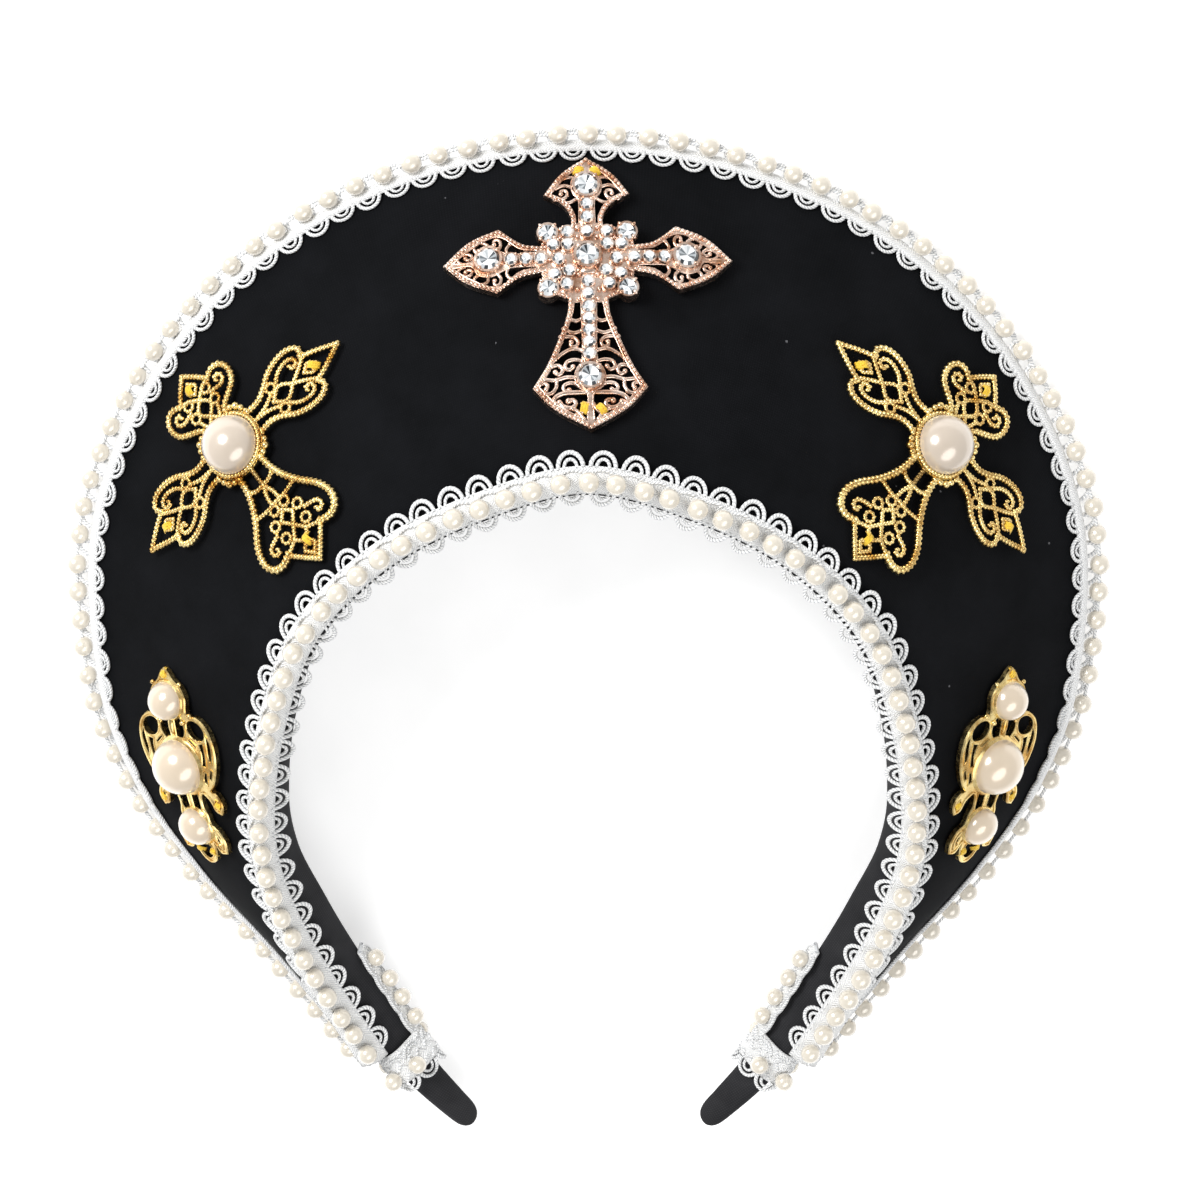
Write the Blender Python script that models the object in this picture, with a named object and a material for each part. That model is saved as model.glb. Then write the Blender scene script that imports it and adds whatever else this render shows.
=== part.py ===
"""A halo headband of the kind sold as a french hood, lying on its back.

A stiff crescent, covered in black cloth, stands on a narrow cloth-covered headband. Pearl lace is
folded over its outer edge and laid along its inner one, and five pieces of jewellery are sewn on.
X is the wearer's side to side, Y points to the top of the halo, and Z is up, out of its decorated
face. All sizes below are in millimetres.
"""

import math

import bmesh
import bpy
import numpy as np
from mathutils import Vector
from mathutils.bvhtree import BVHTree
from mathutils.geometry import delaunay_2d_cdt

MM = 0.001
UP = Vector((0, 0, 1))

# Main form. One row for each place along the right half, from the top (0) to the end of the lace (1).
# The inner columns are the middle of the inner pearl row, and the outer ones that of the outer row.
# Turn is how far the outer pearl row sits round towards the front of the folded edge.
RIM = (
    # at, inner_x, inner_y, inner_z, outer_x, outer_y, turn
    (0.000, 0.0, 50.5, 52.5, 0.0, 115.0, 55.0),
    (0.125, 22.7, 44.5, 52.0, 37.5, 108.7, 52.0),
    (0.250, 44.0, 33.0, 50.5, 71.2, 91.3, 45.0),
    (0.375, 60.4, 15.5, 48.0, 97.3, 63.8, 35.0),
    (0.500, 68.7, -7.2, 43.0, 112.7, 28.8, 20.0),
    (0.625, 72.3, -31.2, 36.5, 112.7, -9.0, 8.0),
    (0.708, 71.2, -47.0, 32.5, 104.8, -33.1, 4.0),
    (0.792, 66.6, -62.4, 28.5, 91.2, -54.5, 10.0),
    (0.875, 60.0, -77.0, 25.0, 75.0, -74.0, 20.0),
    (1.000, 48.5, -98.3, 20.0, 52.0, -104.0, 30.0),
)
RIM_MIRRORED = (0, 1, 4)

# Headband. Inset and drop place the middle of the band from the inner pearl row.
BAND = (
    # at, inset, drop, width, thickness, lean
    (0.000, 2.1, 8.7, 10.0, 5.0, 0.0),
    (0.450, 2.3, 8.7, 10.0, 4.8, 4.0),
    (0.620, 2.9, 8.7, 10.2, 4.5, 14.0),
    (0.708, 3.4, 8.7, 10.4, 4.3, 26.0),
    (0.792, 4.4, 8.6, 10.5, 4.1, 42.0),
    (0.900, 4.9, 8.3, 10.0, 4.0, 50.0),
    (1.000, 5.2, 8.0, 9.2, 3.8, 50.0),
)
# The bare ends of the band below the lace, by the middle of the band.
BAND_END = (
    # x, y, z, width, thickness, lean
    (38.0, -103.6, 11.5, 8.2, 3.6, 48.0),
    (31.0, -111.6, 10.8, 6.8, 3.3, 46.0),
    (27.6, -115.2, 10.5, 5.4, 2.8, 45.0),
    (26.4, -115.8, 10.4, 3.4, 1.8, 45.0),
)
BAND_STATIONS = 34

# Crescent wall, of stiffener and cloth
WALL = 2.5
WALL_CROWN = 0.6
WALL_STATIONS = 64
GAP = 0.3

# Pearl lace
PEARL_RADIUS = 2.15
PEARL_RISE = 3.7
TAPE = 1.0
TAPE_HALF = 2.85
SCALLOP_PEAK = 4.0
SCALLOP_VALLEY = 1.8
INNER_SCALLOPS = 58
FOLD_REACH = 4.95
FOLD_BACK = 0.9
FOLD_HALF = 2.65
FRONT_LEG = (4.2, 2.7)
BACK_LEG = (4.2, -1.9)
TURN_FULL = 55.0
OUTER_STATIONS = 64
INNER_STRING_POINTS = 56
OUTER_STRING_POINTS = 72

# The lace is wound round each arm below the trimmed length, and its end is tucked back up the inside.
WRAP_START = 2.2
WRAP_LENGTH = 8.6
WRAP_CLEAR = 0.4
WRAP_THICKNESS = 2.0
TAIL_STATIONS = 3
TAIL_WIDTH = 5.0
TAIL_BACK = 1.6
TAIL_CLEAR = 0.6

# Jewellery. Seat is a place along the rim, a share of the wall's width out from the inner rim,
# and the turn of the piece from pointing straight out.
LIFT = 0.6
CROSS_SEAT = (0.0, 0.63, 0.0)
SIDE_CROSS_SEAT = (0.341, 0.567, 10.5)
BROOCH_SEAT = (0.625, 0.415, -56.0)

CROSS_PLATE = 2.2
PAVE_PLATE = 0.8
SIDE_PLATE = 1.6
SIDE_PEARL = 6.5
BROOCH_PLATE = 1.4

# Central cross, in its own right and up. Outlines give the right half, from the top down.
CROSS_OUTLINE = (
    (0.0, 23.0),
    (5.4, 19.3),
    (9.2, 14.4),
    (4.7, 11.6),
    (3.3, 7.6),
    (6.0, 6.6),
    (7.9, 7.6),
    (10.1, 6.9),
    (10.8, 5.0),
    (9.9, 2.2),
    (14.0, 3.0),
    (19.0, 7.0),
    (25.4, 4.6),
    (31.0, -0.2),
    (26.0, -4.8),
    (19.4, -7.8),
    (14.6, -5.0),
    (10.0, -4.0),
    (10.9, -7.6),
    (10.1, -9.6),
    (7.9, -10.2),
    (6.0, -9.4),
    (4.2, -10.2),
    (4.7, -14.0),
    (6.9, -20.0),
    (9.3, -25.4),
    (12.2, -30.1),
    (7.7, -35.0),
    (0.0, -39.6),
)
CROSS_TOP_HOLES = [
    [(2.3, 8.6), (2.9, 8.8), (3.7, 11.4), (3.5, 12.8), (2.3, 12.6)],
    [(4.6, 13.2), (5.6, 13.2), (7.0, 14.3), (6.0, 15.2), (4.4, 14.6)],
    [(4.4, 15.8), (6.0, 16.2), (5.0, 17.8), (4.1, 17.0)],
    [(2.9, 18.8), (4.0, 18.6), (3.0, 20.0), (1.6, 20.2), (1.9, 19.5)],
]
CROSS_BOTTOM_HOLES = [
    [(2.3, -10.4), (3.1, -10.4), (3.5, -12.6), (2.3, -12.6)],
    [(2.3, -13.6), (3.7, -13.6), (4.0, -15.6), (2.3, -15.6)],
    [(2.4, -16.6), (4.2, -16.6), (5.0, -19.0), (3.5, -19.6), (2.4, -18.8)],
    [(2.4, -20.3), (5.2, -20.6), (6.1, -22.8), (4.2, -23.8), (2.4, -23.2)],
    [(4.1, -25.2), (7.0, -24.6), (8.4, -27.0), (6.2, -27.8), (4.3, -27.0)],
    [(9.2, -27.6), (11.0, -29.8), (9.8, -31.4), (8.0, -29.8)],
    [(4.6, -28.8), (6.8, -29.2), (6.8, -31.4), (4.8, -31.8), (3.6, -31.0)],
    [(7.6, -32.2), (8.8, -32.4), (6.8, -34.6), (5.8, -33.6)],
    [(1.0, -32.0), (2.6, -32.2), (4.4, -33.6), (2.6, -35.4), (1.0, -34.4)],
    [(0.7, -35.8), (2.3, -36.5), (1.0, -38.0)],
]
# Out along a side arm, and to each side of its middle line
CROSS_ARM_V = -0.5
CROSS_SIDE_HOLES = [
    [(10.5, 1.9), (16.3, 1.9), (16.0, 3.2), (13.2, 2.5)],
    [(17.0, 4.2), (18.6, 3.6), (19.8, 4.8), (18.9, 6.0)],
    [(21.6, 3.6), (23.6, 3.2), (24.8, 3.9), (22.6, 5.4)],
    [(25.0, 0.5), (27.4, 0.4), (26.4, 2.6), (25.2, 1.8)],
]
# Points inside the outline, so that the bent metal follows the wall
CROSS_KNOTS = [(0.0, 4.0), (0.0, -4.0), (-6.0, -0.5), (6.0, -0.5), (-13.5, -0.5), (13.5, -0.5)]
CROSS_KNOTS += [(-21.3, 0.0), (21.3, 0.0), (0.0, 16.4), (0.0, -27.8), (-8.2, 5.0), (8.2, 5.0)]
PAVE_OUTLINE = (
    (1.8, 13.2),
    (1.8, 6.9),
    (5.4, 6.7),
    (6.0, 4.4),
    (8.7, 3.4),
    (9.0, 1.2),
    (17.9, 1.2),
    (17.9, -2.1),
    (9.0, -2.2),
    (8.7, -5.4),
    (6.2, -6.0),
    (5.7, -8.1),
    (1.8, -8.4),
    (1.8, -24.2),
)
SMALL_ROWS = (
    # u, v, and how many sides it is on
    (0.0, 11.9, 1),
    (0.0, 8.8, 1),
    (0.0, 5.6, 1),
    (16.2, -0.5, 2),
    (12.6, -0.6, 2),
    (8.9, -0.8, 2),
    (4.0, 5.0, 2),
    (7.0, 1.9, 2),
    (3.7, 2.2, 2),
    (3.7, -3.2, 2),
    (7.0, -4.0, 2),
    (4.3, -6.3, 2),
    (0.0, -5.6, 1),
    (0.0, -8.7, 1),
    (0.0, -11.5, 1),
    (0.0, -14.3, 1),
    (0.0, -17.0, 1),
    (0.0, -19.8, 1),
    (0.0, -22.5, 1),
)
SMALL_STONE = 1.3
SMALL_STONES = [(u, v, SMALL_STONE) for u, v, sides in SMALL_ROWS]
SMALL_STONES += [(-u, v, SMALL_STONE) for u, v, sides in SMALL_ROWS if sides == 2]
LARGE_STONES = (
    # name, u, v, radius, raised on the small stones' plate
    ("cross_stone_centre", 0.0, -0.6, 2.75, True),
    ("cross_stone_top", 0.0, 16.4, 2.75, False),
    ("cross_stone_left", -21.3, 0.0, 2.75, False),
    ("cross_stone_right", 21.3, 0.0, 2.75, False),
    ("cross_stone_bottom", 0.0, -27.8, 2.75, False),
    ("corner_stone_top_left", -8.5, 5.1, 2.1, True),
    ("corner_stone_top_right", 8.5, 5.1, 2.1, True),
    ("corner_stone_low_left", -8.5, -7.8, 2.1, True),
    ("corner_stone_low_right", 8.5, -7.8, 2.1, True),
)

# Side crosses
SIDE_OUTLINE = (
    (0.0, 21.7),
    (3.9, 17.6),
    (8.4, 17.4),
    (10.0, 14.6),
    (9.0, 11.2),
    (5.0, 8.6),
    (5.2, 7.4),
    (7.2, 7.4),
    (8.4, 5.6),
    (8.2, 3.4),
    (12.0, 3.4),
    (15.5, 6.0),
    (19.0, 7.7),
    (23.2, 7.4),
    (24.9, 5.0),
    (26.0, 3.6),
    (32.2, 0.0),
    (26.0, -3.6),
    (24.9, -5.0),
    (23.2, -7.4),
    (19.0, -7.7),
    (15.5, -6.0),
    (12.0, -3.4),
    (8.2, -3.4),
    (8.2, -6.4),
    (6.6, -8.4),
    (4.2, -8.6),
    (4.4, -12.0),
    (6.8, -17.5),
    (10.8, -22.5),
    (11.8, -26.0),
    (9.6, -28.9),
    (4.9, -29.4),
    (0.0, -34.6),
)
SIDE_TOP_HOLES = [
    [(0.7, 7.6), (2.8, 7.2), (3.5, 9.4), (0.7, 11.4)],
    [(4.7, 12.4), (7.6, 12.2), (8.4, 15.0), (5.4, 15.8)],
    [(0.6, 15.4), (2.4, 17.2), (0.6, 19.6)],
]
SIDE_ARM_HOLES = [
    [(9.0, 0.7), (13.2, 0.7), (12.4, 2.2), (9.2, 2.0)],
    [(15.4, 2.6), (22.6, 4.0), (21.6, 6.1), (18.4, 5.6)],
    [(24.8, 0.7), (29.0, 0.7), (25.6, 2.2)],
]
SIDE_BOTTOM_HOLES = [
    [(0.7, -8.6), (2.8, -8.6), (3.1, -11.4), (0.7, -12.4)],
    [(1.0, -14.4), (3.4, -13.4), (4.8, -17.2), (1.0, -17.2)],
    [(5.8, -19.0), (9.4, -23.4), (10.2, -26.2), (6.0, -26.8)],
    [(1.0, -19.4), (3.8, -19.6), (3.6, -24.6), (1.0, -24.0)],
    [(0.6, -27.4), (3.2, -29.0), (0.6, -32.2)],
]

SIDE_KNOTS = [(0.0, 0.0), (-4.5, 0.0), (4.5, 0.0), (0.0, 4.5), (0.0, -5.0)]

# Brooches with three pearls
BROOCH_OUTLINE = (
    (0.0, 22.5),
    (2.6, 20.0),
    (4.8, 16.8),
    (5.6, 13.6),
    (5.2, 10.4),
    (8.6, 9.4),
    (11.2, 6.0),
    (11.8, 1.0),
    (10.2, -4.0),
    (8.4, -6.4),
    (10.6, -9.8),
    (10.0, -12.8),
    (7.2, -12.2),
    (5.4, -8.6),
    (3.6, -9.6),
    (3.8, -13.0),
    (7.2, -18.6),
    (5.8, -23.2),
    (3.2, -21.0),
    (2.8, -24.6),
    (0.0, -26.6),
)
BROOCH_HOLES = [
    [(0.8, 6.4), (2.8, 6.2), (2.8, 9.0), (0.8, 9.2)],
    [(5.0, 8.0), (8.0, 7.6), (9.4, 5.4), (6.8, 5.2)],
    [(8.4, 3.6), (10.2, 3.2), (10.2, -0.8), (8.4, 0.0)],
    [(8.0, -2.0), (9.4, -2.4), (8.2, -4.8), (7.2, -4.4)],
    [(0.7, -8.6), (2.6, -8.4), (2.6, -11.2), (0.7, -11.2)],
]
BROOCH_KNOTS = [(0.0, 14.4), (0.0, 3.0), (-5.5, 0.0), (5.5, 0.0), (0.0, -4.0), (0.0, -16.0)]
BROOCH_PEARLS = (
    # where, up, radius
    ("top", 14.4, 4.0),
    ("middle", -0.9, 6.15),
    ("low", -16.0, 4.0),
)

BLACK_CLOTH = ((0.012, 0.013, 0.016), 0.85, 0.0)
LACE = ((0.85, 0.85, 0.84), 0.7, 0.0)
PEARL = ((0.88, 0.82, 0.73), 0.25, 0.0)
CREAM_PEARL = ((0.86, 0.72, 0.58), 0.22, 0.0)
ROSE_GOLD = ((0.78, 0.45, 0.33), 0.28, 1.0)
YELLOW_GOLD = ((0.72, 0.50, 0.19), 0.32, 1.0)
CRYSTAL = ((0.9, 0.9, 0.92), 0.05, 0.0)


def clear_scene():
    for item in list(bpy.data.objects):
        bpy.data.objects.remove(item)


def paint(item, finish):
    colour, roughness, metallic = finish
    material = bpy.data.materials.new(item.name)
    material.use_nodes = True
    shader = material.node_tree.nodes["Principled BSDF"]
    shader.inputs["Base Color"].default_value = (*colour, 1)
    shader.inputs["Roughness"].default_value = roughness
    shader.inputs["Metallic"].default_value = metallic
    item.data.materials.append(material)


def add_mesh(name, points, faces, finish, smooth=35):
    """One closed mesh from points in millimetres, its faces turned outwards."""
    mesh = bpy.data.meshes.new(name)
    mesh.from_pydata([point * MM for point in points], [], faces)
    shell = bmesh.new()
    shell.from_mesh(mesh)
    bmesh.ops.recalc_face_normals(shell, faces=shell.faces)
    shell.to_mesh(mesh)
    shell.free()
    mesh.shade_smooth()
    mesh.set_sharp_from_angle(angle=math.radians(smooth))
    item = bpy.data.objects.new(name, mesh)
    bpy.context.scene.collection.objects.link(item)
    paint(item, finish)
    return item


def add_tube(name, points, radius, finish):
    """A string of touching pearls, as a plain round tube through their middles."""
    curve = bpy.data.curves.new(name, "CURVE")
    curve.dimensions = "3D"
    curve.bevel_depth = radius * MM
    curve.bevel_resolution = 2
    curve.use_fill_caps = True
    spline = curve.splines.new("POLY")
    spline.points.add(len(points) - 1)
    for knot, point in zip(spline.points, points):
        knot.co = (*(point * MM), 1)
    item = bpy.data.objects.new(name, curve)
    bpy.context.scene.collection.objects.link(item)
    paint(item, finish)
    return item


def ring_faces(rings, size, closed=False):
    """Side faces between rings of points that follow each other."""
    faces = []
    for ring in range(rings if closed else rings - 1):
        here = ring * size
        there = (ring + 1) % rings * size
        for side in range(size):
            turn = (side + 1) % size
            faces.append((here + side, here + turn, there + turn, there + side))
    return faces


def add_loft(name, sections, finish, smooth=35):
    """A solid through sections with the same number of points, closed at both ends."""
    size = len(sections[0])
    points = [point for section in sections for point in section]
    faces = ring_faces(len(sections), size)
    faces.append(tuple(range(size)))
    faces.append(tuple(range(len(points) - size, len(points))))
    return add_mesh(name, points, faces, finish, smooth)


def both_halves(rows, mirrored):
    left = [
        tuple(-value if column in mirrored else value for column, value in enumerate(row))
        for row in rows[:0:-1]
    ]
    return left + list(rows)


def along(rows, at):
    """Every column of a table at a place between its rows, on smooth curves through them."""
    last = len(rows) - 1
    here = max(0, min(last - 1, sum(row[0] <= at for row in rows) - 1))
    a, b = rows[here], rows[here + 1]
    before, after = rows[max(here - 1, 0)], rows[min(here + 2, last)]
    span = b[0] - a[0]
    u = (at - a[0]) / span
    values = []
    for column in range(1, len(a)):
        start = span * (b[column] - before[column]) / (b[0] - before[0])
        end = span * (after[column] - a[column]) / (after[0] - a[0])
        rise = b[column] - a[column]
        bend = start + end - 2 * rise
        values.append(a[column] + u * (start + u * (rise - start - bend + u * bend)))
    return values


RIM_ROWS = both_halves(RIM, RIM_MIRRORED)
BAND_ROWS = both_halves(BAND, (0,))


def spread(count, end=1.0):
    """Evenly spread places along the rim, from the left end to the right one."""
    return [end * (2 * step / (count - 1) - 1) for step in range(count)]


def inner_row(at):
    return Vector(along(RIM_ROWS, at)[:3])


def outer_row(at):
    x, y = along(RIM_ROWS, at)[3:5]
    return Vector((x, y, 0))


def heading(path, at, step=0.004):
    return (path(at + step) - path(at - step)).normalized()


class Rim:
    """The sections of the inner rim, the wall and the folded outer edge at one place."""

    def __init__(self, at):
        self.pearl = inner_row(at)
        self.ahead = heading(inner_row, at)
        self.forward = (UP - self.ahead * self.ahead.z).normalized()
        self.outward = self.forward.cross(self.ahead)
        self.seat = self.pearl - self.forward * PEARL_RISE
        self.turn = along(RIM_ROWS, at)[5]
        self.fold_outer_edge(at)
        self.lip = self.edge + self.normal * WALL / 2
        self.lip_back = self.edge - self.normal * WALL / 2
        self.width = (self.lip - self.hem).length

    def fold_outer_edge(self, at):
        """The middle of the wall's outer end, low enough that the folded lace rests on the floor."""
        place = outer_row(at)
        ahead = heading(outer_row, at)
        turn = math.radians(self.turn)
        self.hem = self.seat
        self.normal = UP
        self.edge = place
        for _ in range(8):
            self.lay_hem()
            across = self.edge - (self.hem + self.hem_back) / 2
            self.across = (across - ahead * across.dot(ahead)).normalized()
            self.normal = ahead.cross(self.across)
            to_pearl = self.across * (FOLD_REACH * math.cos(turn) - FOLD_BACK)
            to_pearl += self.normal * FOLD_REACH * math.sin(turn)
            fold_low = (FOLD_BACK - 0.2) * self.across.z - 2.1 * self.normal.z
            self.edge = place - to_pearl
            self.edge.z = -min(to_pearl.z - PEARL_RADIUS, fold_low)
        self.outer_pearl = self.edge + to_pearl

    def lay_hem(self):
        """The wall's inner end, its back corner just outside the headband."""
        down = self.edge + self.normal * WALL / 2 - self.hem
        down = (down - self.ahead * down.dot(self.ahead)).normalized()
        self.slope = math.atan2(-down.dot(self.forward), down.dot(self.outward))
        self.hem_normal = self.ahead.cross(down)
        self.hem = self.seat + self.outward * (0.7 + WALL * math.sin(self.slope))
        self.hem_back = self.hem - self.hem_normal * WALL

    def wall_section(self):
        middle = (self.hem + self.lip) / 2
        middle_back = (self.hem_back + self.lip_back) / 2
        crown = (self.normal + self.hem_normal).normalized() * WALL_CROWN * self.width / 64
        return [self.hem, middle + crown, self.lip, self.lip_back, middle_back + crown, self.hem_back]

    def on_edge(self, out, front):
        return self.edge + self.across * out + self.normal * front

    def on_rim(self, out, rise):
        return self.pearl + self.outward * out + self.forward * rise


def leg(lengths, turn):
    return lengths[0] + lengths[1] * turn / TURN_FULL


def outer_lace_section(rim):
    """The lace tape folded over the outer edge."""
    room = rim.width - SCALLOP_PEAK - 1.5
    front = min(leg(FRONT_LEG, rim.turn), room)
    back = min(leg(BACK_LEG, rim.turn), room)
    inside = FOLD_HALF - TAPE
    outline = (
        (-front, FOLD_HALF),
        (0.7, 2.1),
        (0.7, -2.1),
        (-back, -FOLD_HALF),
        (-back, -inside),
        (GAP, -inside + 0.2),
        (GAP, inside - 0.2),
        (-front, inside),
    )
    return [rim.on_edge(out, rise) for out, rise in outline]


def inner_lace_section(rim, scallop):
    """The flat lace on the inner rim: a scallop, the tape under the pearls, and a scallop."""
    droop = math.radians(10 + 0.3 * math.degrees(rim.slope))
    low = -PEARL_RISE + GAP
    high = low + TAPE
    edge_out = max(TAPE_HALF, 0.7 + WALL * math.sin(rim.slope) + 0.6)
    shoulder = TAPE * math.tan(rim.slope / 2)
    inward = Vector((-math.cos(droop), -math.sin(droop))) * scallop
    outward = Vector((math.cos(rim.slope), -math.sin(rim.slope))) * scallop
    inner_low = Vector((-TAPE_HALF, low))
    inner_high = Vector((-TAPE_HALF, high))
    outer_low = Vector((edge_out, low))
    outer_high = Vector((edge_out + shoulder, high))
    outline = (
        inner_low + inward,
        inner_low,
        outer_low,
        outer_low + outward,
        outer_high + outward,
        outer_high,
        inner_high,
        inner_high + inward,
    )
    return [rim.on_rim(*spot) for spot in outline]


def band_rows():
    """The headband's middle line and its section sizes, from one bare end to the other."""
    rows = []
    for at in spread(BAND_STATIONS):
        inset, drop, width, thickness, lean = along(BAND_ROWS, at)
        rim = Rim(at)
        rows.append((rim.on_rim(-inset, -drop), width, thickness, abs(lean)))
    right = [(Vector(row[:3]), *row[3:]) for row in BAND_END]
    left = [(Vector((-place.x, place.y, place.z)), *sizes) for place, *sizes in reversed(right)]
    return left + rows + right


class Band:
    """The section of the headband at one place on its middle line."""

    def __init__(self, rows, index):
        self.middle, self.width, self.thickness, lean = rows[index]
        before = rows[max(index - 1, 0)][0]
        after = rows[min(index + 1, len(rows) - 1)][0]
        self.ahead = (after - before).normalized()
        forward = (UP - self.ahead * self.ahead.z).normalized()
        outward = forward.cross(self.ahead)
        lean = math.radians(lean)
        self.back = -forward * math.cos(lean) - outward * math.sin(lean)
        self.out = outward * math.cos(lean) - forward * math.sin(lean)

    def section(self, grow=0.0):
        """An octagon: a flat band with rounded edges."""
        half = self.width / 2 + grow
        thick = self.thickness / 2 + grow
        outline = (
            (-half, 0.45 * thick),
            (-0.8 * half, thick),
            (0.8 * half, thick),
            (half, 0.45 * thick),
            (half, -0.45 * thick),
            (0.8 * half, -thick),
            (-0.8 * half, -thick),
            (-half, -0.45 * thick),
        )
        return [self.middle + self.back * b + self.out * o for b, o in outline]


def band_between(rows, index, distance):
    """The band's section at a distance past the lace's end, on the right if index is positive."""
    step = 1 if index > 0 else -1
    here = len(rows) - 1 - len(BAND_END) if index > 0 else len(BAND_END)
    left = distance
    while left > (rows[here + step][0] - rows[here][0]).length:
        left -= (rows[here + step][0] - rows[here][0]).length
        here += step
    share = left / (rows[here + step][0] - rows[here][0]).length
    first, second = Band(rows, here), Band(rows, here + step)
    first.middle = first.middle.lerp(second.middle, share)
    first.width += (second.width - first.width) * share
    first.thickness += (second.thickness - first.thickness) * share
    first.back = first.back.lerp(second.back, share).normalized()
    first.out = first.out.lerp(second.out, share).normalized()
    return first


class Seat:
    """A place on the wall's front, and how stiff metal laid there is bent to follow it."""

    def __init__(self, wall, seat, reach):
        at, share, turn = seat
        rim = Rim(at)
        self.normal = rim.hem_normal.lerp(rim.normal, share).normalized()
        self.place = rim.hem.lerp(rim.lip, share)
        up = rim.lip - rim.hem
        up = (up - self.normal * up.dot(self.normal)).normalized()
        right = up.cross(self.normal)
        turn = math.radians(turn)
        self.up = up * math.cos(turn) + right * math.sin(turn)
        self.right = right * math.cos(turn) - up * math.sin(turn)
        left, low, far, high = reach
        terms = []
        heights = []
        for u in np.linspace(left, far, 13):
            for v in np.linspace(low, high, 13):
                start = self.place + self.right * u + self.up * v + self.normal * 50
                hit = wall.ray_cast(start, -self.normal)[0]
                if hit is not None:
                    terms.append(bend_terms(u, v))
                    heights.append((hit - self.place).dot(self.normal))
        terms = np.array(terms)
        self.bend = np.linalg.lstsq(terms, np.array(heights), rcond=None)[0]
        self.lift = float((heights - terms @ self.bend).max()) + LIFT

    def spot(self, u, v, w=0.0):
        """A point of a piece, from its own right, up and out of the wall."""
        rise = float(np.dot(self.bend, bend_terms(u, v))) + self.lift + w
        return self.place + self.right * u + self.up * v + self.normal * rise


def bend_terms(u, v):
    return (1.0, u, v, u * u, u * v, v * v)


def surface_of(item):
    """A mesh in millimetres, to lay pieces on."""
    points = [vertex.co / MM for vertex in item.data.vertices]
    return BVHTree.FromPolygons(points, [tuple(face.vertices) for face in item.data.polygons])


def build_main_form():
    rows = band_rows()
    sections = [Band(rows, index).section() for index in range(len(rows))]
    add_loft("headband", sections, BLACK_CLOTH, 60)

    rims = [Rim(at) for at in spread(WALL_STATIONS)]
    panel = add_loft("halo_panel", [rim.wall_section() for rim in rims], BLACK_CLOTH)

    rims = [Rim(at) for at in spread(OUTER_STATIONS)]
    add_loft("outer_lace", [outer_lace_section(rim) for rim in rims], LACE, 50)

    sections = []
    for step, at in enumerate(spread(2 * INNER_SCALLOPS + 1)):
        scallop = SCALLOP_PEAK if step % 2 else SCALLOP_VALLEY
        sections.append(inner_lace_section(Rim(at), scallop))
    add_loft("inner_lace", sections, LACE, 50)

    inner = [inner_row(at) for at in spread(INNER_STRING_POINTS, 0.992)]
    add_tube("inner_pearl_string", inner, PEARL_RADIUS, PEARL)
    outer = [Rim(at).outer_pearl for at in spread(OUTER_STRING_POINTS, 0.992)]
    add_tube("outer_pearl_string", outer, PEARL_RADIUS, PEARL)
    return panel, rows


def outline_of(half):
    """A closed outline from its right half, given from the top to the bottom."""
    left = [(-u, v) for u, v in reversed(half) if u]
    return list(half) + left


def both_sides(holes):
    mirrored = [[(-u, v) for u, v in hole] for hole in holes]
    return list(holes) + mirrored


def inside(spot, loop):
    u, v = spot
    crossings = 0
    for (u0, v0), (u1, v1) in zip(loop, loop[1:] + loop[:1]):
        if (v0 > v) != (v1 > v) and u < u0 + (v - v0) / (v1 - v0) * (u1 - u0):
            crossings += 1
    return crossings % 2 == 1


def flat_faces(loops, knots=()):
    """Triangles that fill an outline and leave its holes open. Knots are points inside it."""
    spots = [spot for loop in loops for spot in loop] + list(knots)
    edges = []
    for loop in loops:
        start = len(edges)
        edges += [(start + step, start + (step + 1) % len(loop)) for step in range(len(loop))]
    flat = [Vector(spot) for spot in spots]
    places, _, faces, sources, _, _ = delaunay_2d_cdt(flat, edges, [], 0, 1e-5)
    kept = []
    for face in faces:
        middle = sum((places[corner] for corner in face), Vector((0, 0))) / len(face)
        if inside(middle, loops[0]) and not any(inside(middle, hole) for hole in loops[1:]):
            kept.append(tuple(sources[corner][0] for corner in face))
    return kept


def add_plate(name, seats, loops, low, high, finish, knots=(), bumps=()):
    """A pierced metal plate with straight sides. A bump is a small cut stone that rises from it."""
    flat = [spot for loop in loops for spot in loop]
    edge_count = len(flat)
    flat += knots
    count = len(flat)
    points = [seats.spot(u, v, low) for u, v in flat] + [seats.spot(u, v, high) for u, v in flat]
    faces = flat_faces(loops, knots)
    if bumps:
        rings = [circle(8, radius, u, v) for u, v, radius in bumps]
        points += [seats.spot(u, v, high) for ring in rings for u, v in ring]
        upper = flat_faces(loops + rings)
        shift = 2 * count - edge_count
        faces += [tuple(n + (count if n < edge_count else shift) for n in face) for face in upper]
    else:
        faces += [tuple(corner + count for corner in face) for face in faces]
    start = 0
    for loop in loops:
        for step in range(len(loop)):
            here = start + step
            there = start + (step + 1) % len(loop)
            faces.append((here, there, there + count, here + count))
        start += len(loop)
    for ring, (u, v, radius) in enumerate(bumps):
        start = 2 * count + 8 * ring
        table = len(points)
        points += [seats.spot(*spot, high + 1.2) for spot in circle(8, 0.55 * radius, u, v)]
        for step in range(8):
            turn = (step + 1) % 8
            faces.append((start + step, start + turn, table + turn, table + step))
        faces.append(tuple(range(table, table + 8)))
    return add_mesh(name, points, faces, finish, 25)


def circle(count, radius, u=0.0, v=0.0):
    angles = [math.tau * (step + 0.5) / count for step in range(count)]
    return [(u + radius * math.cos(angle), v + radius * math.sin(angle)) for angle in angles]


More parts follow.
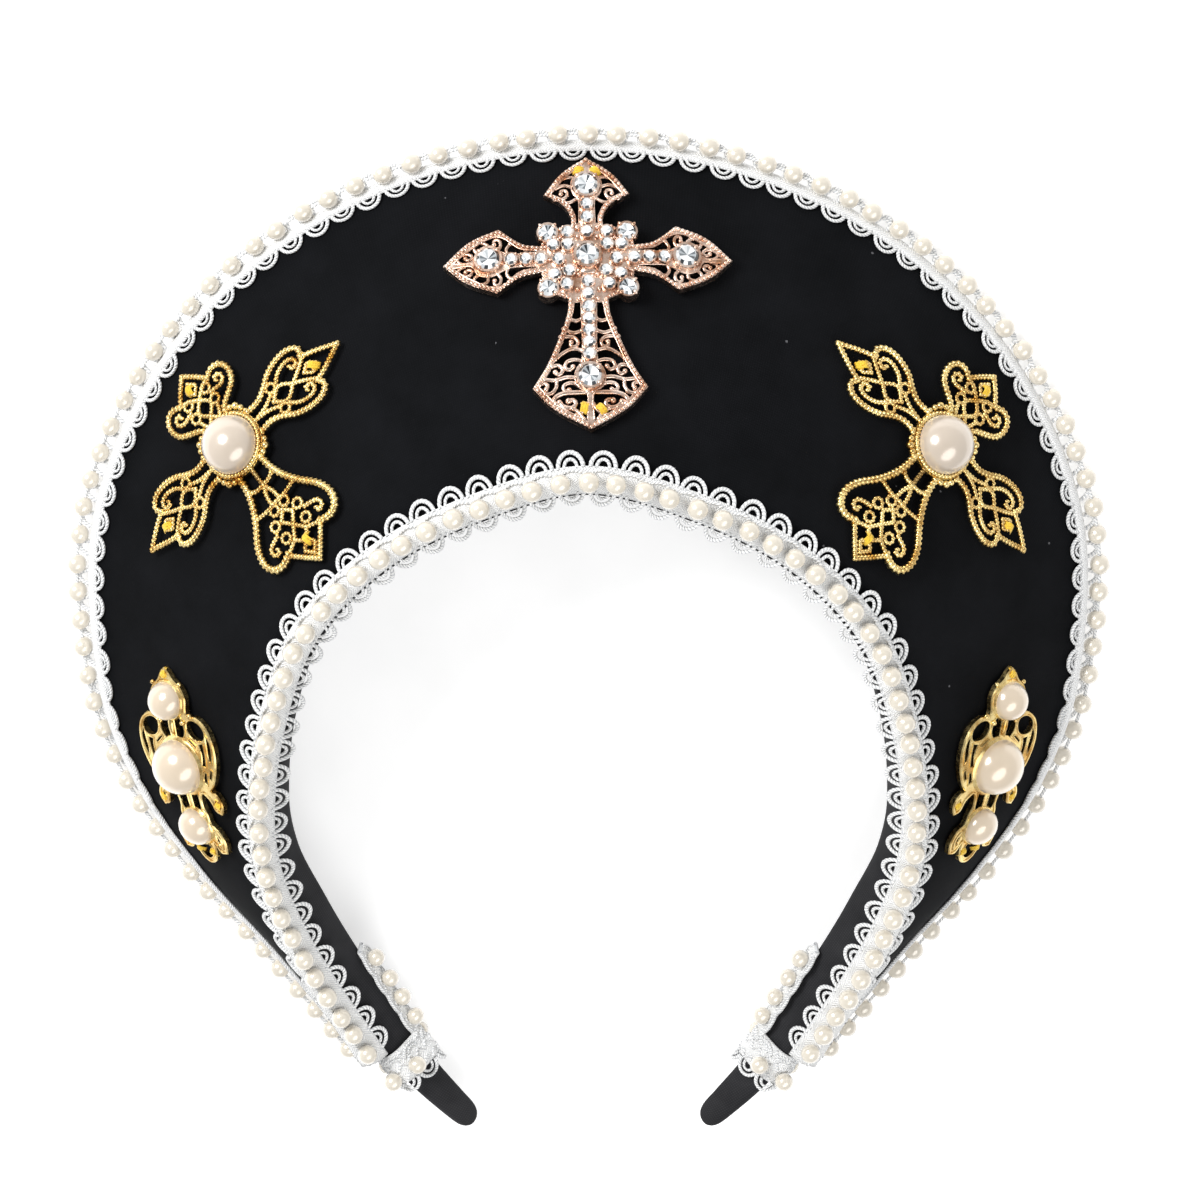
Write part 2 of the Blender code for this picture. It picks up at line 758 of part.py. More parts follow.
def add_round(name, seats, place, rings, count, finish, smooth):
    """A solid of level rings, each a radius and a height, closed at both ends."""
    points = [seats.spot(u, v, w) for radius, w in rings for u, v in circle(count, radius, *place)]
    faces = ring_faces(len(rings), count)
    faces.append(tuple(range(count)))
    faces.append(tuple(range(len(points) - count, len(points))))
    return add_mesh(name, points, faces, finish, smooth)


def add_stone(name, seats, place, radius, low):
    rings = ((0.75 * radius, low), (radius, low + 1.0), (0.55 * radius, low + 2.2))
    add_round(name, seats, place, rings, 8, CRYSTAL, 10)


def add_half_pearl(name, seats, place, radius, low):
    rings = [(radius, low)]
    for angle in (25, 48, 68, 84):
        turn = math.radians(angle)
        rings.append((radius * math.cos(turn), low + 0.92 * radius * math.sin(turn)))
    add_round(name, seats, place, rings, 12, CREAM_PEARL, 50)


class Mirrored:
    """The same seat on the other side of the halo."""

    def __init__(self, seats):
        self.seats = seats

    def spot(self, u, v, w=0.0):
        point = self.seats.spot(u, v, w)
        return Vector((-point.x, point.y, point.z))


def build_central_cross(wall):
    seat = Seat(wall, CROSS_SEAT, (-30, -39, 30, 22))
    holes = both_sides(CROSS_TOP_HOLES + CROSS_BOTTOM_HOLES)
    for along_arm in CROSS_SIDE_HOLES:
        for side in (1, -1):
            for rise in (1, -1):
                holes.append([(side * a, CROSS_ARM_V + rise * b) for a, b in along_arm])
    loops = [outline_of(CROSS_OUTLINE)] + holes
    add_plate("cross_frame", seat, loops, 0.0, CROSS_PLATE, ROSE_GOLD, CROSS_KNOTS)

    pave_low = CROSS_PLATE + GAP
    pave_high = pave_low + PAVE_PLATE
    loops = [outline_of(PAVE_OUTLINE)]
    knots = [(u, v) for u, v, radius in SMALL_STONES]
    add_plate("cross_pave", seat, loops, pave_low, pave_high, ROSE_GOLD, knots, SMALL_STONES)
    for name, u, v, radius, on_pave in LARGE_STONES:
        add_stone(name, seat, (u, v), radius, (pave_high if on_pave else CROSS_PLATE) + GAP)


def build_side_crosses(wall):
    right = Seat(wall, SIDE_CROSS_SEAT, (-31, -33, 31, 20))
    holes = both_sides(SIDE_TOP_HOLES + SIDE_BOTTOM_HOLES)
    for along_arm in SIDE_ARM_HOLES:
        for side in (1, -1):
            for rise in (1, -1):
                holes.append([(side * a, rise * b) for a, b in along_arm])
    loops = [outline_of(SIDE_OUTLINE)] + holes
    for side, seat in (("left", Mirrored(right)), ("right", right)):
        add_plate(f"side_cross_{side}", seat, loops, 0.0, SIDE_PLATE, YELLOW_GOLD, SIDE_KNOTS)
        add_half_pearl(f"side_pearl_{side}", seat, (0, 0), SIDE_PEARL, SIDE_PLATE + GAP)


def build_brooches(wall):
    right = Seat(wall, BROOCH_SEAT, (-11, -25, 11, 21))
    loops = [outline_of(BROOCH_OUTLINE)] + both_sides(BROOCH_HOLES)
    for side, seat in (("left", Mirrored(right)), ("right", right)):
        add_plate(f"brooch_{side}", seat, loops, 0.0, BROOCH_PLATE, YELLOW_GOLD, BROOCH_KNOTS)
        for where, v, radius in BROOCH_PEARLS:
            add_half_pearl(f"brooch_pearl_{where}_{side}", seat, (0, v), radius, BROOCH_PLATE + GAP)


def add_sleeve(name, sections, finish):
    """A sleeve round the band, from pairs of an inner and an outer section."""
    size = len(sections[0][0])
    points = []
    faces = []
    for inner, outer in sections:
        points += inner + outer
    for ring in range(len(sections) - 1):
        for wall in (0, size):
            here = 2 * size * ring + wall
            there = here + 2 * size
            for side in range(size):
                turn = (side + 1) % size
                faces.append((here + side, here + turn, there + turn, there + side))
    for start in (0, 2 * size * (len(sections) - 1)):
        for side in range(size):
            turn = (side + 1) % size
            faces.append((start + side, start + turn, start + size + turn, start + size + side))
    add_mesh(name, points, faces, finish, 50)


def build_wraps(rows):
    """The lace wound round each arm's end, and its tail laid back up inside the arm."""
    for side, sign in (("left", -1), ("right", 1)):
        sections = []
        for share in (0.0, 0.5, 1.0):
            band = band_between(rows, sign, WRAP_START + share * WRAP_LENGTH)
            sections.append((band.section(WRAP_CLEAR), band.section(WRAP_CLEAR + WRAP_THICKNESS)))
        add_sleeve(f"wrap_lace_{side}", sections, LACE)

        last = len(rows) - 1 - len(BAND_END) if sign > 0 else len(BAND_END)
        strip = []
        pearls = []
        for step in range(TAIL_STATIONS):
            band = Band(rows, last - sign * step)
            inside = -band.out
            back = band.back * TAIL_BACK
            face = band.middle + back + inside * (band.thickness / 2 + TAIL_CLEAR)
            across = band.back * TAIL_WIDTH / 2
            strip.append([face - across, face + across, face + across + inside * TAPE,
                          face - across + inside * TAPE])
            pearls.append(face + inside * (TAPE + GAP + PEARL_RADIUS))
        add_loft(f"tail_lace_{side}", strip, LACE, 50)
        add_tube(f"tail_pearls_{side}", pearls, PEARL_RADIUS, PEARL)


def main():
    clear_scene()
    panel, rows = build_main_form()
    build_wraps(rows)
    wall = surface_of(panel)
    build_central_cross(wall)
    build_side_crosses(wall)
    build_brooches(wall)


main()
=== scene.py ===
"""A halo headband of the kind sold as a french hood, lying on its back on a pale table."""
import math
import random

import bmesh
import bpy
import numpy as np
from mathutils import Euler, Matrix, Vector
from mathutils.bvhtree import BVHTree
from mathutils.geometry import delaunay_2d_cdt


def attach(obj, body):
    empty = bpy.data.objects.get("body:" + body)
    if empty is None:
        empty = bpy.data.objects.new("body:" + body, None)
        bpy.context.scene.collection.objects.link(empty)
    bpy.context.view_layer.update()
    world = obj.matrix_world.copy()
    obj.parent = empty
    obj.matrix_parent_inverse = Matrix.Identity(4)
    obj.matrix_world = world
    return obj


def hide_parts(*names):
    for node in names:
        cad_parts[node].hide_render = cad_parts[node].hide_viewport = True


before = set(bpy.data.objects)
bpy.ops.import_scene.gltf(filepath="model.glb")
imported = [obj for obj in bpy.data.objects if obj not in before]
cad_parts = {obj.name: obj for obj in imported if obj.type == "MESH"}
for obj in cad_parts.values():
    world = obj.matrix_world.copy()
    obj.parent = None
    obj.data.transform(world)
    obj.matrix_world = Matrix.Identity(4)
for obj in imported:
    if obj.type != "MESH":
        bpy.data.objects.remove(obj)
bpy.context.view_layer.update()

MM = 0.001
UP = Vector((0, 0, 1))
chance = random.Random(7)

# The rim and the band, in millimetres, from the top centre to the end of the lace on the right.
RIM = (
    # at, inner_x, inner_y, inner_z, outer_x, outer_y, turn
    (0.000, 0.0, 50.5, 52.5, 0.0, 115.0, 55.0),
    (0.125, 22.7, 44.5, 52.0, 37.5, 108.7, 52.0),
    (0.250, 44.0, 33.0, 50.5, 71.2, 91.3, 45.0),
    (0.375, 60.4, 15.5, 48.0, 97.3, 63.8, 35.0),
    (0.500, 68.7, -7.2, 43.0, 112.7, 28.8, 20.0),
    (0.625, 72.3, -31.2, 36.5, 112.7, -9.0, 8.0),
    (0.708, 71.2, -47.0, 32.5, 104.8, -33.1, 4.0),
    (0.792, 66.6, -62.4, 28.5, 91.2, -54.5, 10.0),
    (0.875, 60.0, -77.0, 25.0, 75.0, -74.0, 20.0),
    (1.000, 48.5, -98.3, 20.0, 52.0, -104.0, 30.0),
)
BAND = (
    # at, inset, drop, width, thickness, lean
    (0.000, 2.1, 8.7, 10.0, 5.0, 0.0),
    (0.450, 2.3, 8.7, 10.0, 4.8, 4.0),
    (0.620, 2.9, 8.7, 10.2, 4.5, 14.0),
    (0.708, 3.4, 8.7, 10.4, 4.3, 26.0),
    (0.792, 4.4, 8.6, 10.5, 4.1, 42.0),
    (0.900, 4.9, 8.3, 10.0, 4.0, 50.0),
    (1.000, 5.2, 8.0, 9.2, 3.8, 50.0),
)
BAND_END = (
    # x, y, z, width, thickness, lean
    (38.0, -103.6, 11.5, 8.2, 3.6, 48.0),
    (31.0, -111.6, 10.8, 6.8, 3.3, 46.0),
    (27.6, -115.2, 10.5, 5.4, 2.8, 45.0),
    (26.4, -115.8, 10.4, 3.4, 1.8, 45.0),
)
BAND_TIP = Vector((26.5, -116.3, 10.4))
WALL = 2.5
HEM_GAP = 0.7  # between the seat of the inner pearls and the wall
PEARL_RISE = 3.7  # the inner pearls' centres over their seat
PEARL_STAND = 2.15  # the outer pearls' centres over the table
FOLD_REACH = 4.95  # the outer pearls' centres from the middle of the fold
FOLD_BACK = 0.9  # the middle of the fold, in from the wall's edge
FOLD_TOE = 0.7  # the lowest place of the lace behind the wall, in from its edge
FOLD_DEPTH = 2.1  # and behind its middle
TUCK = 1.2  # how far the wall's edge draws back inside the fold on the sides
CROWN = 0.6  # the bulge of the crescent's face where it is CROWN_WIDTH wide
CROWN_WIDTH = 64


# The rim's places


def both_halves(rows, mirrored):
    left = [
        tuple(-value if column in mirrored else value for column, value in enumerate(row))
        for row in rows[:0:-1]
    ]
    return left + list(rows)


def along(rows, at):
    """A smooth blend of the rows' values. The rows' first column says where each of them is."""
    last = len(rows) - 1
    here = max(0, min(last - 1, sum(row[0] <= at for row in rows) - 1))
    a, b = rows[here], rows[here + 1]
    before, after = rows[max(here - 1, 0)], rows[min(here + 2, last)]
    span = b[0] - a[0]
    u = (at - a[0]) / span
    values = []
    for column in range(1, len(a)):
        start = span * (b[column] - before[column]) / (b[0] - before[0])
        end = span * (after[column] - a[column]) / (after[0] - a[0])
        rise = b[column] - a[column]
        bend = start + end - 2 * rise
        values.append(a[column] + u * (start + u * (rise - start - bend + u * bend)))
    return values


RIM_ROWS = both_halves(RIM, (0, 1, 4))
BAND_ROWS = both_halves(BAND, (0,))


def inner_row(at):
    return Vector(along(RIM_ROWS, at)[:3])


def outer_row(at):
    x, y = along(RIM_ROWS, at)[3:5]
    return Vector((x, y, 0))


def heading(path, at, step=0.004):
    return (path(at + step) - path(at - step)).normalized()


def squared(direction, axis):
    """A direction turned square to an axis."""
    return (direction - axis * direction.dot(axis)).normalized()


def ramp(value, start, span):
    """From 0 to 1 as the value grows from a start over a span."""
    return min(1.0, max(0.0, (value - start) / span))


class Rim:
    """The inner rim, the wall and the folded outer edge at one place."""

    def __init__(self, at):
        self.at = at
        self.pearl = inner_row(at)
        self.ahead = heading(inner_row, at)
        self.forward = squared(UP, self.ahead)
        self.outward = self.forward.cross(self.ahead)
        self.turn = along(RIM_ROWS, at)[5]
        seat = self.pearl - self.forward * PEARL_RISE
        place = outer_row(at)
        ahead = heading(outer_row, at)
        turn = math.radians(self.turn)
        self.hem = seat
        self.normal = UP
        self.edge = place
        # The wall's inner and outer edges shape each other, so they are settled in a few rounds.
        for _ in range(8):
            self.down = squared(self.edge + self.normal * WALL / 2 - self.hem, self.ahead)
            self.slope = math.atan2(-self.down.dot(self.forward), self.down.dot(self.outward))
            self.hem_normal = self.ahead.cross(self.down)
            self.hem = seat + self.outward * (HEM_GAP + WALL * math.sin(self.slope))
            self.hem_back = self.hem - self.hem_normal * WALL
            self.across = squared(self.edge - (self.hem + self.hem_back) / 2, ahead)
            self.normal = ahead.cross(self.across)
            to_pearl = self.across * (FOLD_REACH * math.cos(turn) - FOLD_BACK)
            to_pearl += self.normal * FOLD_REACH * math.sin(turn)
            fold_low = FOLD_TOE * self.across.z - FOLD_DEPTH * self.normal.z
            self.edge = place - to_pearl
            self.edge.z = -min(to_pearl.z - PEARL_STAND, fold_low)
        self.tuck = TUCK * ramp(abs(at), 0.3, 0.25)
        self.edge = self.edge - self.across * self.tuck
        self.lip = self.edge + self.normal * WALL / 2
        self.lip_back = self.edge - self.normal * WALL / 2
        self.width = (self.lip - self.hem).length


RIMS = [Rim(step / 240) for step in range(-240, 241)]


class Track:
    """A path through places in millimetres, with the sideways and the front direction at each."""

    def __init__(self, places, sides, fronts):
        self.places = np.array([tuple(p) for p in places])
        self.sides = np.array([tuple(s) for s in sides])
        self.fronts = np.array([tuple(f) for f in fronts])
        steps = np.linalg.norm(np.diff(self.places, axis=0), axis=1)
        self.runs = np.concatenate([[0.0], np.cumsum(steps)])
        self.length = self.runs[-1]
        self.runs -= self.length / 2

    def shifted(self, side, front):
        return Track(self.places + self.sides * side + self.fronts * front, self.sides, self.fronts)

    def blend(self, values, run):
        return np.stack([np.interp(run, self.runs, values[:, axis]) for axis in range(3)], axis=1)

    def lay(self, points):
        """Points that were modelled flat, with x along the track, y to its side and z to its front."""
        points = np.asarray(points, float).reshape(-1, 3)
        run = points[:, 0]
        side = self.blend(self.sides, run) * points[:, 1:2]
        front = self.blend(self.fronts, run) * points[:, 2:3]
        past = run - np.clip(run, self.runs[0], self.runs[-1])
        first = self.places[1] - self.places[0]
        last = self.places[-1] - self.places[-2]
        ends = np.where((run < 0)[:, None], first / np.linalg.norm(first), last / np.linalg.norm(last))
        return self.blend(self.places, run) + ends * past[:, None] + side + front

    def set_down(self, spots, run, side, front):
        """A rigid thing's points, such as a pearl's, set down at one place without bending them."""
        ahead, aside, above = (run + 0.5, side, front), (run, side + 1, front), (run, side, front + 1)
        middle, *others = self.lay([(run, side, front), ahead, aside, above])
        axes = [(other - middle) / np.linalg.norm(other - middle) for other in others]
        return middle + spots @ np.array(axes)


def rim_track(row_of):
    """A track along the rim. The function gives the place, side and front for one Rim."""
    return Track(*zip(*[row_of(rim) for rim in RIMS]))


def smoothly(values, track):
    """A value that follows a list along a track."""
    numbers = np.array(values, float)
    return lambda run: float(np.interp(run, track.runs, numbers))


def at_run(value, run):
    """A number, or a function of the distance along a track."""
    return value(run) if callable(value) else value


# Meshes: a unit holds one shape's arrays, and a copy is a unit with its points in place


def deselect_all():
    for item in list(bpy.context.selected_objects):
        item.select_set(False)


def added(primitive, **sizes):
    """A new primitive, the only thing that is selected."""
    deselect_all()
    primitive(**sizes)
    return bpy.context.object


def numbers_of(rows, key, kind, columns=1):
    values = np.zeros(len(rows) * columns, kind)
    rows.foreach_get(key, values)
    return values.reshape(-1, columns) if columns > 1 else values


def unit_of(item, smooth=True):
    """The mesh as a unit. The object itself goes. Blender's primitives don't keep one order of points
    and faces from run to run, so points are sorted by their place, and faces by their points."""
    mesh = item.data
    spots = numbers_of(mesh.vertices, "co", float, 3)
    uv = numbers_of(mesh.uv_layers[0].uv, "vector", float, 2)
    sizes = numbers_of(mesh.polygons, "loop_total", int)
    order = np.lexsort(np.round(spots, 4).T)
    corners = np.argsort(order)[numbers_of(mesh.loops, "vertex_index", int)]
    bpy.data.objects.remove(item)
    faces = []
    for loops in np.split(np.arange(len(corners)), np.cumsum(sizes)[:-1]):
        faces.append(np.roll(loops, -int(np.argmin(corners[loops]))))
    faces.sort(key=lambda loops: list(corners[loops]))
    loops = np.concatenate(faces)
    return {
        "spots": spots[order],
        "corners": corners[loops],
        "sizes": np.array([len(face) for face in faces]),
        "smooth": np.full(len(faces), smooth),
        "uv": uv[loops],
    }


def unit_from(spots, faces, uv):
    return {
        "spots": np.array(spots, float),
        "corners": np.array([corner for face in faces for corner in face]),
        "sizes": np.array([len(face) for face in faces]),
        "smooth": np.ones(len(faces), bool),
        "uv": np.array(uv, float),
    }


def skin(rings, caps=True):
    """A smooth sleeve through rings of points, as a copy, with its uv in millimetres."""
    rings = [np.array([tuple(p) for p in ring]) for ring in rings]
    size = len(rings[0])
    runs = [0.0]
    for before, after in zip(rings, rings[1:]):
        runs.append(runs[-1] + float(np.linalg.norm(after - before, axis=1).mean()))
    around = []
    for ring in rings:
        steps = np.linalg.norm(np.diff(ring, axis=0, append=ring[:1]), axis=1)
        around.append(np.concatenate([[0.0], np.cumsum(steps)]))
    faces = []
    uv = []
    for row in range(len(rings) - 1):
        for side in range(size):
            quad = ((row, side), (row, side + 1), (row + 1, side + 1), (row + 1, side))
            faces.append([r * size + s % size for r, s in quad])
            uv += [(runs[r], around[r][s]) for r, s in quad]
    if caps:
        faces.append(range(size)[::-1])
        faces.append(range(size * (len(rings) - 1), size * len(rings)))
        uv += [(0.0, 0.0)] * (2 * size)
    unit = unit_from(np.concatenate(rings), faces, uv)
    return unit, unit["spots"]


def ring_of(place, aside, wide, deep, sides=6):
    """A tube's section round a place, across a sideways direction and the height."""
    x, y, z = place
    ring = []
    for side in range(sides):
        angle = math.tau * side / sides
        off = wide * math.cos(angle)
        ring.append((x + off * aside[0], y + off * aside[1], z + deep * math.sin(angle)))
    return ring


def assemble(name, copies, finish, *nodes):
    """One piece of the object from copies in millimetres."""
    material, slot = finish
    starts = np.cumsum([0] + [len(spots) for _, spots in copies])
    corners = np.concatenate([unit["corners"] + start for (unit, _), start in zip(copies, starts)])
    sizes = np.concatenate([unit["sizes"] for unit, _ in copies])
    smooth = np.concatenate([unit["smooth"] for unit, _ in copies])
    uv = np.concatenate([unit["uv"] for unit, _ in copies])
    spots = np.concatenate([spots for _, spots in copies]) * MM
    mesh = bpy.data.meshes.new(name)
    mesh.vertices.add(len(spots))
    mesh.vertices.foreach_set("co", spots.ravel())
    mesh.loops.add(len(corners))
    mesh.loops.foreach_set("vertex_index", corners.astype(np.int32))
    mesh.polygons.add(len(sizes))
    mesh.polygons.foreach_set("loop_start", (np.cumsum(sizes) - sizes).astype(np.int32))
    mesh.uv_layers.new(name="UVMap").uv.foreach_set("vector", uv.ravel())
    mesh.polygons.foreach_set("use_smooth", smooth)
    mesh.update(calc_edges=True)
    mesh.validate()
    mesh.materials.append(material)
    item = bpy.data.objects.new(name, mesh)
    bpy.context.scene.collection.objects.link(item)
    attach(item, "root")
    if nodes:
        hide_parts(*nodes)
    return item


def outward(item):
    """Turns a closed mesh's faces outwards."""
    work = bmesh.new()
    work.from_mesh(item.data)
    bmesh.ops.recalc_face_normals(work, faces=work.faces)
    work.to_mesh(item.data)
    work.free()


# Materials


def linear(hex_colour):
    values = [int(hex_colour[place : place + 2], 16) / 255 for place in (1, 3, 5)]
    return [v / 12.92 if v <= 0.04045 else ((v + 0.055) / 1.055) ** 2.4 for v in values] + [1.0]


OWN_SHADERS = ("Principled BSDF", "Background")


def add_node(tree, kind, settings):
    """A node with its settings: an attribute, an input's value, the output that feeds an input, or a
    ramp's colours. A tree's own shader is taken by its name. What comes back is the outputs."""
    node = tree.nodes[kind] if kind in OWN_SHADERS else tree.nodes.new("ShaderNode" + kind)
    for key, value in settings.items():
        if key == "colours":
            steps = node.color_ramp.elements
            steps.remove(steps[1])
            steps[0].position = value[0][0]
            steps[0].color = linear(value[0][1])
            for place, colour in value[1:]:
                steps.new(place).color = linear(colour)
        elif isinstance(value, bpy.types.NodeSocket):
            tree.links.new(value, node.inputs[key])
        elif isinstance(key, int) or key in node.inputs:
            node.inputs[key].default_value = value
        else:
            setattr(node, key, value)
    return node.outputs


def new_material(name):
    material = bpy.data.materials.new(name)
    material.use_nodes = True
    return material, material.node_tree, add_node(material.node_tree, "TexCoord", {})


def black_cloth(name, low, high, sheen):
    """Woven polyester, dyed black: matt, with a fine plain weave and a little pale lint."""
    material, tree, coords = new_material(name)
    # The real threads are about 0.2 mm apart. They are drawn 0.55 mm apart so that they show.
    threads = {"Scale": 0.57, "Distortion": 0.4, "Vector": coords["UV"]}
    warp = add_node(tree, "TexWave", {**threads, "bands_direction": "X"})
    weft = add_node(tree, "TexWave", {**threads, "bands_direction": "Y"})
    weave = add_node(tree, "Math", {"operation": "MULTIPLY", 0: warp["Fac"], 1: weft["Fac"]})
    cloudy = add_node(
        tree, "TexNoise", {"Scale": 60.0, "Detail": 6.0, "Roughness": 0.6, "Vector": coords["Object"]}
    )
    slubs = add_node(tree, "Math", {"operation": "MULTIPLY_ADD", 0: weave[0], 1: 0.35, 2: cloudy[0]})
    base = add_node(tree, "ValToRGB", {"colours": [(0.35, low), (0.95, high)], "Fac": slubs[0]})
    # Lint: small specks about 4 mm apart, kept only where a second, coarser pattern is high.
    lint = add_node(tree, "TexVoronoi", {"Scale": 260.0, "Vector": coords["Object"]})
    specks = add_node(tree, "Math", {"operation": "LESS_THAN", 0: lint["Distance"], 1: 0.075})
    rare = add_node(tree, "TexNoise", {"Scale": 190.0, "Detail": 1.0, "Vector": coords["Object"]})
    few = add_node(tree, "Math", {"operation": "GREATER_THAN", 0: rare[0], 1: 0.66})
    both = add_node(tree, "Math", {"operation": "MULTIPLY", 0: specks[0], 1: few[0]})
    faint = add_node(tree, "Math", {"operation": "MULTIPLY", 0: both[0], 1: 0.4})
    mixed = add_node(
        tree, "Mix", {"data_type": "RGBA", "Factor": faint[0], 6: base[0], 7: linear("#8C8C90")}
    )
    bump = add_node(tree, "Bump", {"Strength": 0.35, "Distance": 0.00012, "Height": slubs[0]})
    matt = {"Roughness": 0.9, "Specular IOR Level": 0.08, "Sheen Weight": sheen, "Sheen Roughness": 0.4}
    add_node(tree, "Principled BSDF", {**matt, "Base Color": mixed[2], "Normal": bump[0]})
    return material


COTTON = {"Sheen Roughness": 0.4, "Subsurface Weight": 0.1, "Subsurface Radius": (0.001, 0.001, 0.001)}


def white_cord():
    """Mercerised cotton cord, bleached: two plies twisted together, with a soft shine and painted shade
    between the plies.
    """
    material, tree, coords = new_material("bleached_cotton_cord")
    # UV is millimetres along the cord in x, and turns round it in y. The two plies cross the cord's
    # face every 0.85 mm: the wave repeats when x + y has grown by 0.5.
    turned = add_node(tree, "Mapping", {"Scale": (0.5 / 0.85, 1.0, 1.0), "Vector": coords["UV"]})
    twist = {"Scale": 1.2566, "Distortion": 0.3, "Detail": 1.0, "bands_direction": "DIAGONAL"}
    plies = add_node(tree, "TexWave", {**twist, "Vector": turned[0]})
    fuzz = add_node(tree, "TexNoise", {"Scale": 2500.0, "Detail": 3.0, "Vector": coords["Object"]})
    height = add_node(tree, "Math", {"operation": "MULTIPLY_ADD", 0: fuzz[0], 1: 0.3, 2: plies["Fac"]})
    # Grey where the plies dip between each other, white on their crowns: painted shade in the grooves.
    whites_and_groove_shade = [(0.15, "#C0C3C7"), (0.5, "#EEEFEF"), (1.0, "#FAFAF9")]
    tint = add_node(tree, "ValToRGB", {"colours": whites_and_groove_shade, "Fac": height[0]})
    bump = add_node(tree, "Bump", {"Strength": 0.8, "Distance": 0.0002, "Height": height[0]})
    shine = {**COTTON, "Roughness": 0.62, "Sheen Weight": 0.25}
    add_node(tree, "Principled BSDF", {**shine, "Base Color": tint[0], "Normal": bump[0]})
    return material


def white_braid():
    """The lace's ground: a close flat braid of the same cord, with slanted stitches and painted shade between
    them.
    """
    material, tree, coords = new_material("bleached_cotton_braid")
    # The stitches slant the other way every 1.1 mm across the braid.
    flat = add_node(tree, "SeparateXYZ", {"Vector": coords["UV"]})
    fold = add_node(tree, "Math", {"operation": "PINGPONG", 0: flat["Y"], 1: 1.1})
    chevron = add_node(tree, "CombineXYZ", {"X": flat["X"], "Y": fold[0]})
    slant = {"Scale": 1.0, "Distortion": 2.2, "Detail": 3.0, "bands_direction": "DIAGONAL"}
    stitches = add_node(tree, "TexWave", {**slant, "Vector": chevron[0]})
    # Grey where the stitches dip, white on their tops: painted shade between the stitches.
    whites_and_groove_shade = [(0.0, "#DDDFE1"), (0.3, "#F2F2F2"), (1.0, "#FAFAF8")]
    tint = add_node(tree, "ValToRGB", {"colours": whites_and_groove_shade, "Fac": stitches["Fac"]})
    bump = add_node(tree, "Bump", {"Strength": 0.7, "Distance": 0.00022, "Height": stitches["Fac"]})
    matt = {**COTTON, "Roughness": 0.75, "Sheen Weight": 0.2, "Sheen Roughness": 0.5}
    add_node(tree, "Principled BSDF", {**matt, "Base Color": tint[0], "Normal": bump[0]})
    return material


def pearl_lacquer(name, body, edge, rough):
    """An acrylic bead dipped in pearl lacquer: deeper where it faces the eye and paler at its rim, as
    painted reflection of the darker room above and of the white surroundings.
    """
    material, tree, coords = new_material(name)
    facing = add_node(tree, "LayerWeight", {"Blend": 0.35})
    lustre = add_node(tree, "TexNoise", {"Scale": 150.0, "Detail": 1.0, "Vector": coords["Object"]})
    depth = add_node(
        tree, "Math", {"operation": "MULTIPLY_ADD", 0: lustre[0], 1: 0.25, 2: facing["Facing"]}
    )
    # The body colour in the middle and the pale edge colour at the rim are painted reflection, with a little
    # random lustre.
    body_and_rim_reflection = [(0.1, body), (0.5, body), (0.85, edge)]
    tint = add_node(tree, "ValToRGB", {"colours": body_and_rim_reflection, "Fac": depth[0]})
    coat = {"Coat Weight": 1.0, "Coat Roughness": 0.22, "Coat IOR": 1.6}
    gloss = {"Roughness": rough, "Metallic": 0.15, "Specular IOR Level": 0.6}
    add_node(tree, "Principled BSDF", {**coat, **gloss, "Base Color": tint[0]})
    return material


def plated_gold(name, bright, deep, rough):
    """Zinc alloy, cast and plated. Its colour runs from deep to bright in random patches: painted
    shade and painted highlight.
    """
    material, tree, coords = new_material(name)
    cast = {"Scale": 900.0, "Detail": 4.0, "Roughness": 0.6, "Vector": coords["Object"]}
    grain = add_node(tree, "TexNoise", cast)
    painted_light_patches = add_node(tree, "TexNoise", {"Scale": 220.0, "Detail": 2.0, "Vector": coords["Object"]})
    tone = add_node(tree, "Math", {"operation": "MULTIPLY_ADD", 0: grain[0], 1: 0.4, 2: painted_light_patches[0]})
    # Deep and bright are the metal's shadow and highlight tones, laid at random by grain and patches: painted
    # shade and painted highlight.
    tint = add_node(tree, "ValToRGB", {"colours": [(0.45, deep), (0.85, bright)], "Fac": tone[0]})
    wear = {"From Min": 0.3, "From Max": 0.7, "To Min": rough * 0.7, "To Max": rough * 1.5}
    uneven = add_node(tree, "MapRange", {**wear, "Value": grain[0]})
    bump = add_node(tree, "Bump", {"Strength": 0.18, "Distance": 0.0001, "Height": grain[0]})
    metal = {"Metallic": 1.0, "Roughness": uneven[0], "Base Color": tint[0], "Normal": bump[0]}
    add_node(tree, "Principled BSDF", metal)
    return material


def cut_glass():
    """Foil-backed crystal: clear glass over a mirror. Each facet is painted light or dark as a whole:
    painted reflection.
    """
    material, tree, coords = new_material("foiled_crystal")
    facet = add_node(tree, "SeparateXYZ", {"Vector": coords["UV"]})
    # From dark grey to white, chosen by each facet's own number: painted reflection.
    painted_facet_reflections = [(0.08, "#30353A"), (0.2, "#7F878D"), (0.36, "#C6CCD0"), (0.58, "#F0F3F5"), (0.8, "#FFFFFF")]
    tint = add_node(tree, "ValToRGB", {"colours": painted_facet_reflections, "Fac": facet["X"]})
    gloss = {"Metallic": 0.2, "Roughness": 0.08, "Coat Weight": 1.0, "Coat Roughness": 0.02}
    add_node(tree, "Principled BSDF", {**gloss, "Base Color": tint[0]})
    return material


def yellow_thread():
    """Spun polyester thread, yellow, drawn tight in a few strands."""
    material, tree, coords = new_material("yellow_sewing_thread")
    twist = {"Scale": 1.6, "Distortion": 0.5, "bands_direction": "DIAGONAL"}
    strands = add_node(tree, "TexWave", {**twist, "Vector": coords["UV"]})
    yellows = [(0.0, "#E3AC1C"), (0.6, "#FFD938")]
    tint = add_node(tree, "ValToRGB", {"colours": yellows, "Fac": strands["Fac"]})
    bump = add_node(tree, "Bump", {"Strength": 0.6, "Distance": 0.0001, "Height": strands["Fac"]})
    spun = {"Roughness": 0.55, "Sheen Weight": 0.3}
    add_node(tree, "Principled BSDF", {**spun, "Base Color": tint[0], "Normal": bump[0]})
    return material


